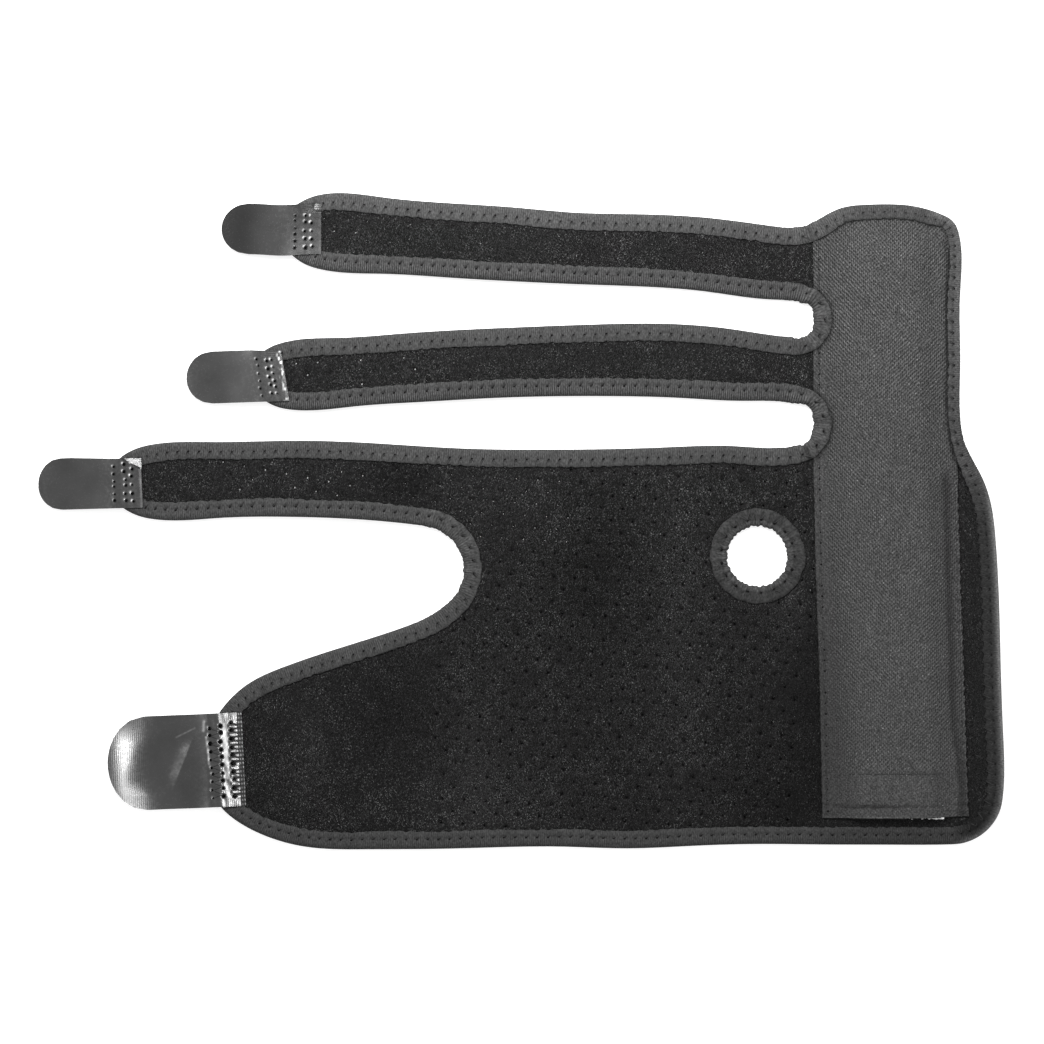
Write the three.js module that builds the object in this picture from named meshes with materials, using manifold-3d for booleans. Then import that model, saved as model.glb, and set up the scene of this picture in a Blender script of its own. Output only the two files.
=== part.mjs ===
// Thumb and wrist support laid open with its skin side up. Millimetres, Z up.
// One die-cut foam panel has three straps and a tongue. A folded tape binds its whole edge and another binds
// the thumb hole. A cloth sleeve for a stay runs down the right side, and each free end has a hook tab.
import * as THREE from 'three';
import { mergeVertices } from 'three/addons/utils/BufferGeometryUtils.js';
import Module from 'manifold-3d';

const wasm = await Module();
wasm.setup();

const GAP = 0.15;
const FOAM = { thickness: 3.0, pinched: 1.3, shoulder: 1.2 };
const TAPE = { thickness: 1.0, flange: 6.5, narrowFlange: 4.6, fold: 1.4 };
const SLEEVE = { cloth: 1.0, slope: 4.5, hollow: 1.7, tuck: 3.0, mouth: -111.0, top: 119.0 };
const HOOK_STRIP = { width: 34.0, length: 18.0, thickness: 1.0, showing: 0.9 };
const TAB = { thickness: 1.0, lift: 0.3, flat: 16.0, droop: 2.3, fallPast: 1.15, tipShare: 0.04 };

// Straps from the tip to the root: place along the strap, its middle line there, and its width.
const STRAPS = {
  upper: {
    tipReach: 19.5,
    sections: [
      { x: -70.5, mid: 108.7, width: 28.7 },
      { x: -36.0, mid: 106.1, width: 27.8 },
      { x: 1.5, mid: 103.7, width: 27.4 },
      { x: 29.5, mid: 102.0, width: 26.3 },
      { x: 57.8, mid: 101.4, width: 27.4 },
      { x: 80.3, mid: 98.8, width: 27.4 },
      { x: 103.0, mid: 96.3, width: 28.0 },
    ],
  },
  middle: {
    tipReach: 16.9,
    sections: [
      { x: -84.8, mid: 54.8, width: 25.5 },
      { x: -54.8, mid: 56.8, width: 25.9 },
      { x: -17.3, mid: 59.1, width: 25.9 },
      { x: 20.3, mid: 60.4, width: 26.3 },
      { x: 48.4, mid: 60.6, width: 27.4 },
      { x: 76.5, mid: 59.1, width: 26.6 },
      { x: 103.0, mid: 56.5, width: 25.0 },
    ],
  },
  lower: {
    tipReach: 20.6,
    sections: [
      { x: -134.6, mid: 14.9, width: 28.3 },
      { x: -101.6, mid: 15.9, width: 28.1 },
      { x: -73.5, mid: 15.8, width: 28.5 },
      { x: -45.4, mid: 14.1, width: 28.9 },
    ],
  },
};

// The edge of the body, past the straps.
const BODY = {
  aboveThumb: [
    { x: -17.3, y: 27.1 },
    { x: 29.6, y: 27.0 },
    { x: 67.1, y: 28.1 },
    { x: 103.0, y: 28.4 },
  ],
  notch: { x: -37.9, y: -18.0, radius: 16.3, from: 84, to: -64 },
  tongueTop: [
    { x: -38.2, y: -37.5 },
    { x: -47.6, y: -40.9 },
    { x: -70.5, y: -48.4 },
    { x: -90.8, y: -55.4 },
    { x: -105.2, y: -62.9 },
  ],
  tongueTip: { x: -91.7, y: -89.1, radius: 27.6, from: 135, to: 225 },
  bottom: [
    { x: -101.2, y: -115.6 },
    { x: -83.3, y: -121.6 },
    { x: -54.8, y: -123.0 },
    { x: 10.9, y: -121.9 },
    { x: 44.6, y: -122.6 },
    { x: 76.5, y: -121.1 },
    { x: 123.0, y: -121.2 },
  ],
  lowCorner: { x: 161.4, y: -102.1, radius: 19.0, from: -90, to: 0 },
  right: [
    { x: 180.7, y: -88.0 },
    { x: 179.8, y: -67.1 },
    { x: 178.9, y: -29.6 },
    { x: 177.4, y: -3.4 },
    { x: 174.4, y: 12.4 },
    { x: 168.9, y: 23.6 },
    { x: 165.2, y: 32.6 },
    { x: 164.6, y: 43.5 },
    { x: 164.3, y: 82.9 },
  ],
  highCorner: { x: 155.7, y: 106.9, radius: 8.2, from: 0, to: 75 },
  top: [
    { x: 148.6, y: 117.9 },
    { x: 138.0, y: 118.7 },
    { x: 127.1, y: 118.6 },
    { x: 119.6, y: 117.4 },
    { x: 112.9, y: 114.2 },
    { x: 107.6, y: 111.4 },
  ],
};
const WEB_REACH = 6.6;
const THUMB_HOLE = { x: 88.5, y: -13.1, radius: 11.5 };

// The sleeve's long edges, from its mouth to its top, and the flat seam inside each.
const SLEEVE_EDGES = {
  left: { mouth: 112.0, top: 109.6, seam: 7.0 },
  right: { mouth: 168.6, top: 159.9, seam: 5.0 },
};

// Cross sections of the sleeve from its mouth to its top, and how much of its rise each has.
const SLEEVE_ROWS = [
  { y: SLEEVE.mouth, raised: 1 },
  { y: 99.0, raised: 1 },
  { y: 101.5, raised: 0.8 },
  { y: 105.0, raised: 0.2 },
  { y: 107.5, raised: 0 },
  { y: SLEEVE.top, raised: 0 },
];
const SLEEVE_SLOPE_STEPS = [0, 0.35, 0.65, 1];

// Where the tape narrows up the right side, and where it climbs over the sleeve.
const NARROWING = { fromX: 150, toX: 160, fromY: 15, toY: 35 };
const CLIMB = { fromX: 92, toX: 102, fromY: 6, toY: 18 };

// How closely the edges are followed: steps of an arc, turn in degrees and longest run between stations.
const ARC_STEPS = 10;
const EDGE_STATIONS = { turn: 11, longest: 24 };
const HOLE_STATIONS = { turn: 9, longest: 24 };
const FINE_STEPS = 3000;

// Hook tabs: middle of the sewn end, middle of the round end, width, and length of the rounding.
const TABS = [
  { name: 'upper_strap_tab', sewn: [-75.0, 109.6], tip: [-112.3, 109.8], width: 19.0, round: 10.0 },
  { name: 'middle_strap_tab', sewn: [-88.5, 54.5], tip: [-125.2, 53.4], width: 18.9, round: 9.5 },
  { name: 'lower_strap_tab', sewn: [-142.2, 14.4], tip: [-181.1, 13.4], width: 18.5, round: 8.6 },
  { name: 'wrist_tab', sewn: [-104.1, -88.9], tip: [-155.0, -91.4], width: 35.1, round: 14.0 },
];
const TAB_END_ANGLES = [22, 40, 55, 67, 76, 84];

const LOOK = {
  pile: new THREE.MeshStandardMaterial({ color: 0x262626, roughness: 0.95 }),
  tape: new THREE.MeshStandardMaterial({ color: 0x4a4a4a, roughness: 0.85 }),
  cloth: new THREE.MeshStandardMaterial({ color: 0x505050, roughness: 0.75 }),
  plastic: new THREE.MeshStandardMaterial({ color: 0x484848, roughness: 0.4 }),
};

// Heights of the layers in a bound edge: tape, pinched foam, tape.
const FOAM_LOW = TAPE.thickness + GAP;
const FOAM_HIGH = FOAM_LOW + FOAM.pinched;
const EDGE_HEIGHT = FOAM_HIGH + GAP + TAPE.thickness;
const SLEEVE_BASE = FOAM.thickness + GAP;
const OVER_SLEEVE = SLEEVE_BASE + SLEEVE.cloth + GAP + TAPE.thickness - EDGE_HEIGHT;

const point = ({ x, y }) => new THREE.Vector3(x, y, 0);
const step = THREE.MathUtils.smoothstep;

function arc({ x, y, radius, from, to }, reach = radius) {
  const turn = THREE.MathUtils.degToRad;
  const curve = new THREE.EllipseCurve(x, y, reach, radius, turn(from), turn(to), to < from);
  return curve.getPoints(ARC_STEPS).map(point);
}

function strapEdge(strap, side) {
  return strap.sections.map(({ x, mid, width }) => new THREE.Vector3(x, mid + (side * width) / 2, 0));
}

function strapTip({ tipReach, sections: [{ x, mid, width }] }) {
  return arc({ x, y: mid, radius: width / 2, from: 90, to: 270 }, tipReach).slice(1, -1);
}

// The round end of the gap between two strap roots.
function web(above, below) {
  const radius = (above.y - below.y) / 2;
  return arc({ x: above.x, y: below.y + radius, radius, from: 90, to: -90 }, WEB_REACH).slice(1, -1);
}

function outlineGuides() {
  const { upper, middle, lower } = STRAPS;
  const upperLow = strapEdge(upper, -1);
  const middleHigh = strapEdge(middle, 1);
  const middleLow = strapEdge(middle, -1);
  const bodyHigh = BODY.aboveThumb.map(point);
  return [
    ...strapEdge(upper, 1).reverse(),
    ...strapTip(upper),
    ...upperLow,
    ...web(upperLow.at(-1), middleHigh.at(-1)),
    ...middleHigh.reverse(),
    ...strapTip(middle),
    ...middleLow,
    ...web(middleLow.at(-1), bodyHigh.at(-1)),
    ...bodyHigh.reverse(),
    ...strapEdge(lower, 1).reverse(),
    ...strapTip(lower),
    ...strapEdge(lower, -1),
    ...arc(BODY.notch),
    ...BODY.tongueTop.map(point),
    ...arc(BODY.tongueTip),
    ...BODY.bottom.map(point),
    ...arc(BODY.lowCorner),
    ...BODY.right.map(point),
    ...arc(BODY.highCorner),
    ...BODY.top.map(point),
  ];
}

// The tape is narrower up the right side, and rides higher where the sleeve is caught under it.
const share = ({ x, y }, { fromX, toX, fromY, toY }) => step(x, fromX, toX) * step(y, fromY, toY);
const flangeAt = (at) => THREE.MathUtils.lerp(TAPE.flange, TAPE.narrowFlange, share(at, NARROWING));
const liftAt = (at) => OVER_SLEEVE * share(at, CLIMB);

// Stations along a closed edge, closer together where it turns. The foam lies to the left.
function stationsAlong(guides, { turn, longest }) {
  const places = new THREE.CatmullRomCurve3(guides, true, 'centripetal').getSpacedPoints(FINE_STEPS);
  const place = (i) => places[(i + FINE_STEPS) % FINE_STEPS];
  const heading = (i) => place(i + 1).clone().sub(place(i - 1)).normalize();
  const stations = [];
  let last = null;
  for (let i = 0; i < FINE_STEPS; i++) {
    const along = heading(i);
    const far = last && places[i].distanceTo(last.at) > longest;
    const turned = last && along.angleTo(last.along) > THREE.MathUtils.degToRad(turn);
    if (!last || far || turned) {
      last = { at: places[i], along, inward: new THREE.Vector3(-along.y, along.x, 0) };
      stations.push(last);
    }
  }
  return stations.map((s) => ({ ...s, flange: flangeAt(s.at), lift: liftAt(s.at) }));
}

const placeOn = ({ at, inward }, inset, z) => at.clone().addScaledVector(inward, inset).setZ(z);

function closedGeometry(vertices, faces) {
  return new THREE.BufferGeometry().setFromPoints(vertices).setIndex(faces.flat());
}

// Triangles between two closed rings of equal count, given by the number of their first vertex.
function strip(first, second, count) {
  const faces = [];
  for (let i = 0; i < count; i++) {
    const j = (i + 1) % count;
    faces.push([first + i, first + j, second + j], [first + i, second + j, second + i]);
  }
  return faces;
}

// A tape folded over an edge, as rows of inset and height round its section.
function foldedTape(stations) {
  const { thickness, fold } = TAPE;
  const soft = fold * (1 - Math.SQRT1_2);
  const section = ({ flange, lift }) => {
    const high = EDGE_HEIGHT + lift;
    return [
      { inset: fold, z: 0 },
      { inset: soft, z: soft },
      { inset: 0, z: fold },
      { inset: 0, z: high - fold },
      { inset: soft, z: high - soft },
      { inset: fold, z: high },
      { inset: flange, z: high },
      { inset: flange, z: high - thickness },
      { inset: thickness, z: high - thickness },
      { inset: thickness, z: thickness },
      { inset: flange, z: thickness },
      { inset: flange, z: 0 },
    ];
  };
  const sections = stations.map(section);
  const rows = sections[0].length;
  const vertices = [];
  for (let row = 0; row < rows; row++) {
    stations.forEach((s, i) => vertices.push(placeOn(s, sections[i][row].inset, sections[i][row].z)));
  }
  const faces = [];
  for (let row = 0; row < rows; row++) {
    faces.push(...strip(row * stations.length, ((row + 1) % rows) * stations.length, stations.length));
  }
  return closedGeometry(vertices, faces);
}

// The foam panel: full thickness inside, sloping down to a pinched rim under each tape.
function pinchedPanel(edges) {
  const section = ({ flange }) => [
    { inset: flange + GAP + FOAM.shoulder, z: 0 },
    { inset: flange + GAP, z: FOAM_LOW },
    { inset: TAPE.thickness + GAP, z: FOAM_LOW },
    { inset: TAPE.thickness + GAP, z: FOAM_HIGH },
    { inset: flange + GAP, z: FOAM_HIGH },
    { inset: flange + GAP + FOAM.shoulder, z: FOAM.thickness },
  ];
  const vertices = [];
  const faces = [];
  const lowRings = [];
  const highRings = [];
  for (const stations of edges) {
    const first = vertices.length;
    const sections = stations.map(section);
    const rows = sections[0].length;
    for (let row = 0; row < rows; row++) {
      stations.forEach((s, i) => vertices.push(placeOn(s, sections[i][row].inset, sections[i][row].z)));
      if (row > 0) {
        const count = stations.length;
        faces.push(...strip(first + (row - 1) * count, first + row * count, count));
      }
    }
    lowRings.push(stations.map((_, i) => first + i));
    highRings.push(stations.map((_, i) => first + (rows - 1) * stations.length + i));
  }
  const flat = (ring) => ring.map((i) => new THREE.Vector2(vertices[i].x, vertices[i].y));
  const [contour, ...holes] = lowRings.map(flat);
  const low = lowRings.flat();
  const high = highRings.flat();
  for (const [a, b, c] of THREE.ShapeUtils.triangulateShape(contour, holes)) {
    faces.push([high[a], high[b], high[c]], [low[a], low[c], low[b]]);
  }
  return closedGeometry(vertices, faces);
}

// A solid through a row of closed sections, with flat ends.
function loft(sections) {
  const count = sections[0].length;
  const faces = [];
  for (let row = 1; row < sections.length; row++) faces.push(...strip((row - 1) * count, row * count, count));
  const last = (sections.length - 1) * count;
  for (let i = 1; i < count - 1; i++) faces.push([0, i + 1, i], [last, last + i, last + i + 1]);
  return closedGeometry(sections.flat(), faces);
}

function solidOf(geometry) {
  const vertProperties = geometry.attributes.position.array;
  const triVerts = new Uint32Array(geometry.index.array);
  return new wasm.Manifold(new wasm.Mesh({ numProp: 3, vertProperties, triVerts }));
}

function geometryOf(solid) {
  const { vertProperties, triVerts } = solid.getMesh();
  return new THREE.BufferGeometry()
    .setAttribute('position', new THREE.BufferAttribute(vertProperties, 3))
    .setIndex(new THREE.BufferAttribute(triVerts, 1));
}

// The sleeve: flat seams along both sides and the top, a raised middle for the stay, and an open mouth.
function sleeveSection(y, raised) {
  const { cloth, slope, hollow, mouth, top } = SLEEVE;
  const side = (edge, inward) => {
    const x = THREE.MathUtils.mapLinear(y, mouth, top, edge.mouth, edge.top);
    const rising = SLEEVE_SLOPE_STEPS.map((t) => ({
      x: x + inward * (edge.seam + slope * t),
      rise: step(t, 0, 1),
    }));
    return [{ x, rise: 0 }, ...rising];
  };
  const under = [...side(SLEEVE_EDGES.left, 1), ...side(SLEEVE_EDGES.right, -1).reverse()];
  const at = (p, lift) => new THREE.Vector3(p.x, y, SLEEVE_BASE + lift + hollow * raised * p.rise);
  return [...under.map((p) => at(p, 0)), ...under.map((p) => at(p, cloth)).reverse()];
}

function stayPocket(edge) {
  const sleeve = loft(SLEEVE_ROWS.map(({ y, raised }) => sleeveSection(y, raised)).reverse());
  const rim = edge.map((s) => placeOn(s, SLEEVE.tuck, 0)).map(({ x, y }) => new THREE.Vector2(x, y));
  return geometryOf(solidOf(sleeve).intersect(solidOf(upright(rim))));
}

// An upright prism on a closed outline, taller than the sleeve.
function upright(outline) {
  const depth = 2 * (SLEEVE_BASE + SLEEVE.hollow + SLEEVE.cloth);
  const prism = new THREE.ExtrudeGeometry(new THREE.Shape(outline), { depth, bevelEnabled: false });
  prism.deleteAttribute('normal');
  prism.deleteAttribute('uv');
  return mergeVertices(prism);
}

// A hook tab along its own +X from the sewn end, flat over the strap and drooping past it.
function hookTab(length, { width, round }) {
  const { thickness, flat, droop, fallPast, tipShare } = TAB;
  const straight = length - round;
  const rows = [0, flat, (flat + straight) / 2, straight].map((x) => ({ x, half: width / 2 }));
  for (const angle of TAB_END_ANGLES.map(THREE.MathUtils.degToRad)) {
    rows.push({ x: straight + round * Math.sin(angle), half: (width / 2) * Math.cos(angle) });
  }
  rows.push({ x: length, half: (width / 2) * tipShare });
  const sunk = (x) => step(x, flat, length * fallPast);
  const low = (x) => (-droop * sunk(x)) / sunk(length);
  return loft(
    rows.map(({ x, half }) => [
      new THREE.Vector3(x, -half, low(x)),
      new THREE.Vector3(x, half, low(x)),
      new THREE.Vector3(x, half, low(x) + thickness),
      new THREE.Vector3(x, -half, low(x) + thickness),
    ]),
  );
}

function piece(name, geometry, material) {
  const shaded = geometry.toNonIndexed();
  shaded.computeVertexNormals();
  const mesh = new THREE.Mesh(shaded, material);
  mesh.name = name;
  return mesh;
}

const edge = stationsAlong(outlineGuides(), EDGE_STATIONS);
const hole = stationsAlong(arc({ ...THUMB_HOLE, from: 360, to: 0 }).slice(0, -1), HOLE_STATIONS);

const laid = new THREE.Group();
laid.add(piece('panel', pinchedPanel([edge, hole]), LOOK.pile));
laid.add(piece('edge_binding', foldedTape(edge), LOOK.tape));
laid.add(piece('thumb_hole_binding', foldedTape(hole), LOOK.tape));
laid.add(piece('stay_pocket', stayPocket(edge), LOOK.cloth));

const { left, right } = SLEEVE_EDGES;
const stripShape = new THREE.BoxGeometry(HOOK_STRIP.width, HOOK_STRIP.length, HOOK_STRIP.thickness);
const mouthStrip = piece('mouth_hook_strip', stripShape, LOOK.plastic);
mouthStrip.position.set(
  (left.mouth + left.seam + right.mouth - right.seam) / 2,
  SLEEVE.mouth - HOOK_STRIP.showing + HOOK_STRIP.length / 2,
  SLEEVE_BASE + SLEEVE.hollow - GAP - HOOK_STRIP.thickness / 2,
);
laid.add(mouthStrip);

for (const tab of TABS) {
  const sewn = new THREE.Vector2(...tab.sewn);
  const reach = new THREE.Vector2(...tab.tip).sub(sewn);
  const mesh = piece(tab.name, hookTab(reach.length(), tab), LOOK.plastic);
  mesh.position.set(sewn.x, sewn.y, EDGE_HEIGHT + TAB.lift);
  mesh.rotation.z = reach.angle();
  laid.add(mesh);
}

// The middle of the underside's box is the origin.
const box = new THREE.Box3().setFromObject(laid, true);
const middle = box.getCenter(new THREE.Vector3());
laid.position.set(-middle.x, -middle.y, -box.min.z);

const support = new THREE.Group();
support.name = 'thumb_support';
support.add(laid);

export default support;
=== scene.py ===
"""Thumb support laid open on a pale floor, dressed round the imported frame.

Shapes are worked out in millimetres, in the frame of the part, and become metres when a mesh is made.
"""
import math

import bpy
import numpy as np
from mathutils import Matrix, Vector, kdtree
from mathutils.geometry import delaunay_2d_cdt


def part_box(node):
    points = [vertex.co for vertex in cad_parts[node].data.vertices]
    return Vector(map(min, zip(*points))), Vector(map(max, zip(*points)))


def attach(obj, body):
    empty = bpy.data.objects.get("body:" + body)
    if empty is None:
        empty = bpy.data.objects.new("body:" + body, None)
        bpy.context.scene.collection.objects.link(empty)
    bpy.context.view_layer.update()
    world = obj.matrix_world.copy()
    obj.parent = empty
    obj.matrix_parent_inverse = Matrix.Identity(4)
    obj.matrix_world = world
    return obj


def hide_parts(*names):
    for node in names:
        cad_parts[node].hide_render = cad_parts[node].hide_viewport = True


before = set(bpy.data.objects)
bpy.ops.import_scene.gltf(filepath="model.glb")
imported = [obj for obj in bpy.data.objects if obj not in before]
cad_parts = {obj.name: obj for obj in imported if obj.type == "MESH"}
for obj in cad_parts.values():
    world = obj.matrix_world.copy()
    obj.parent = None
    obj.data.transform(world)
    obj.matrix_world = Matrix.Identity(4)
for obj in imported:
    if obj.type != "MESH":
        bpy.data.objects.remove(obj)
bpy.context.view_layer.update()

MM = 0.001
TAU = 2 * math.pi

# Layers of a bound edge, and how much higher the tape rides on the sleeve.
FOAM = 3.0
FOAM_UNDER_TAPE = 2.72
TAPE_HEIGHT = 3.6
TAPE_CLIMB = 1.4

# Width of the tape: in general, up the right side, and over the top of the sleeve.
TAPE_FLANGE = 6.5
TAPE_NARROW = 4.6
TAPE_OVER_SLEEVE = 5.6

# Height at which the outline of the folded tape is read, and radius of the thumb hole.
TAPE_FOLD_ROW = 1.4
HOLE_RADIUS = 11.3

# Zigzag seam of the tapes.
STITCH_PITCH = 4.1
NEEDLE_INSET = 3.8
RING_NEEDLE_INSET = 2.6
TICK_SLANT = 0.5
THREAD = 0.15
RIB_PITCH = 0.8


def smooth(low, high, value):
    """0 below low, 1 above high, and a soft step between."""
    share = np.clip((value - low) / (high - low), 0, 1)
    return share * share * (3 - 2 * share)


def fade(low, high, value):
    """1 below low, 0 above high, and a soft step between."""
    return 1 - smooth(low, high, value)


def hump(value, reach):
    """A soft hump of height 1 at 0."""
    return np.exp(-((value / reach) ** 2))


def spot(x, y, row):
    """A soft hump of height 1 over the place that a row gives."""
    return hump(x - row["x"], row["reach_x"]) * hump(y - row["y"], row["reach_y"])


def beat(turns):
    """1 at whole turns and 0 halfway between them."""
    return 0.5 + 0.5 * np.cos(turns * TAU)


def off_line(x, y, start, end):
    """Distance from the straight line between two points."""
    start, end = np.array(start), np.array(end)
    way = end - start
    share = np.clip(((x - start[0]) * way[0] + (y - start[1]) * way[1]) / (way @ way), 0, 1)
    return np.hypot(x - start[0] - share * way[0], y - start[1] - share * way[1])


def ripple(x, y, length, seed):
    """Smooth unevenness between about -1 and 1, with features of about the given length."""
    draw = np.random.default_rng(seed)
    total = 0.0
    for _ in range(7):
        turn, phase = draw.uniform(0, TAU, 2)
        wave = length * draw.uniform(0.7, 1.6)
        total = total + np.sin((x * math.cos(turn) + y * math.sin(turn)) * TAU / wave + phase)
    return total / 4


def ripple_along(along, length, seed):
    """The same unevenness along one line."""
    return ripple(along, 0 * along, length, seed)


# Places where the soft sheet stands a little off the floor: middle, reach and height.
WAVES = [
    {"x": -62, "y": 15, "reach_x": 34, "reach_y": 24, "height": 2.2},
    {"x": -95, "y": 108, "reach_x": 16, "reach_y": 18, "height": 0.9},
    {"x": 5, "y": 103, "reach_x": 42, "reach_y": 18, "height": 1.5},
    {"x": -22, "y": 58, "reach_x": 38, "reach_y": 18, "height": 1.3},
    {"x": -106, "y": -89, "reach_x": 22, "reach_y": 30, "height": 1.0},
    {"x": 30, "y": -62, "reach_x": 55, "reach_y": 34, "height": 0.9},
    {"x": 184, "y": -62, "reach_x": 9, "reach_y": 55, "height": 1.6},
]


def lay(x, y):
    """How far the whole sheet stands off the floor."""
    return sum(wave["height"] * spot(x, y, wave) for wave in WAVES)


# Reading the frame


def node_points(node):
    """Corners of a CAD node, in millimetres."""
    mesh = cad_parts[node].data
    flat = np.empty(len(mesh.vertices) * 3, np.float32)
    mesh.vertices.foreach_get("co", flat)
    return flat.reshape(-1, 3).astype(float) / MM


def ring_at(node, height):
    """The closed ring of a node's edges that lie at one height, anticlockwise, as x and y."""
    points = np.round(node_points(node), 2)
    links = {}
    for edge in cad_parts[node].data.edges:
        here, there = (tuple(points[k]) for k in edge.vertices)
        if here != there and max(abs(here[2] - height), abs(there[2] - height)) < 0.02:
            links.setdefault(here, set()).add(there)
            links.setdefault(there, set()).add(here)
    ring = [min(links)]
    while True:
        onward = [p for p in links[ring[-1]] if p not in ring[-2:]]
        if len(ring) > 2 and ring[0] in onward:
            break
        ring.append(onward[0])
    ring = np.array(ring)[:, :2]
    x, y = ring.T
    area = np.sum(x * np.roll(y, -1) - y * np.roll(x, -1))
    return ring if area > 0 else ring[::-1]


def smooth_loop(corners, per_span=14):
    """A smooth closed curve through the corners, a periodic cubic spline."""
    count = len(corners)
    onward = np.roll(corners, -1, 0)
    gap = np.linalg.norm(onward - corners, axis=1)[:, None]
    slope = (onward - corners) / gap
    before = np.roll(gap, 1, 0)
    system = np.zeros((count, count))
    row = np.arange(count)
    system[row, row] = 2 * (before + gap)[:, 0]
    system[row, (row - 1) % count] = before[:, 0]
    system[row, (row + 1) % count] = gap[:, 0]
    curve = np.linalg.solve(system, 6 * (slope - np.roll(slope, 1, 0)))
    share = np.linspace(0, 1, per_span, endpoint=False)[None, :, None]
    rest = 1 - share
    bow = (rest**3 - rest) * curve[:, None] + (share**3 - share) * np.roll(curve, -1, 0)[:, None]
    fine = corners[:, None] * rest + onward[:, None] * share + gap[:, None] ** 2 / 6 * bow
    return fine.reshape(-1, 2)


class Edge:
    """A closed edge of the foam, resampled evenly, with the foam on its left."""

    def __init__(self, corners, per_stitch):
        fine = smooth_loop(corners)
        closed = np.vstack([fine, fine[:1]])
        reach = np.concatenate([[0], np.cumsum(np.linalg.norm(np.diff(closed, axis=0), axis=1))])
        self.length = reach[-1]
        self.stitches = int(round(self.length / STITCH_PITCH))
        self.per_stitch = per_stitch
        self.count = self.stitches * per_stitch
        self.along = np.arange(self.count) * self.length / self.count
        self.at = np.column_stack([np.interp(self.along, reach, closed[:, k]) for k in (0, 1)])
        way = np.roll(self.at, -1, 0) - np.roll(self.at, 1, 0)
        way /= np.linalg.norm(way, axis=1)[:, None]
        self.inward = np.column_stack([-way[:, 1], way[:, 0]])
        heading = np.arctan2(way[:, 1], way[:, 0])
        turn = np.roll(heading, -1) - np.roll(heading, 1)
        turn = (turn + math.pi) % TAU - math.pi
        self.bend = self.even(turn * self.count / self.length / 2, 5)

    def even(self, values, reach):
        """A running mean round the loop."""
        return sum(np.roll(values, k, 0) for k in range(-reach, reach + 1)) / (2 * reach + 1)

    def take(self, values, along):
        """Values of the loop at any distance along it."""
        place = np.asarray(along) / self.length * self.count % self.count
        low = place.astype(int) % self.count
        share = place - np.floor(place)
        if values.ndim > 1:
            share = share[:, None]
        return values[low] * (1 - share) + values[(low + 1) % self.count] * share

    def place(self, along, inset):
        """Points at a distance along the edge and a distance in from it."""
        return self.take(self.at, along) + self.take(self.inward, along) * np.asarray(inset)[:, None]


def flange_at(at):
    """Width of the tape: narrower up the right side and over the top of the sleeve."""
    x, y = at.T
    right_side = (TAPE_FLANGE - TAPE_NARROW) * smooth(150, 160, x) * smooth(15, 35, y)
    over_sleeve = (TAPE_FLANGE - TAPE_OVER_SLEEVE) * smooth(112, 122, x) * smooth(90, 105, y)
    return TAPE_FLANGE - np.maximum(right_side, over_sleeve)


def climb_at(at, start=101, end=110):
    """How much higher the tape rides where the sleeve is caught under it."""
    x, y = at.T
    return TAPE_CLIMB * smooth(start, end, x) * smooth(6, 18, y)


def inner_height(edge, wide):
    """Height of a tape at its inner edge, which only climbs where the sleeve lies right under it."""
    return TAPE_HEIGHT + climb_at(edge.at + edge.inward * wide[:, None], 108, 111.5)


rim = Edge(ring_at("edge_binding", TAPE_FOLD_ROW), 6)
rim_flange = flange_at(rim.at)
hole_low, hole_high = (np.array(corner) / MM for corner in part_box("thumb_hole_binding"))
hole_middle = (hole_low + hole_high)[:2] / 2
hole_turns = -np.linspace(0, TAU, 24, endpoint=False)
thumb = Edge(hole_middle + HOLE_RADIUS * np.column_stack([np.cos(hole_turns), np.sin(hole_turns)]), 10)


# Materials


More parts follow.
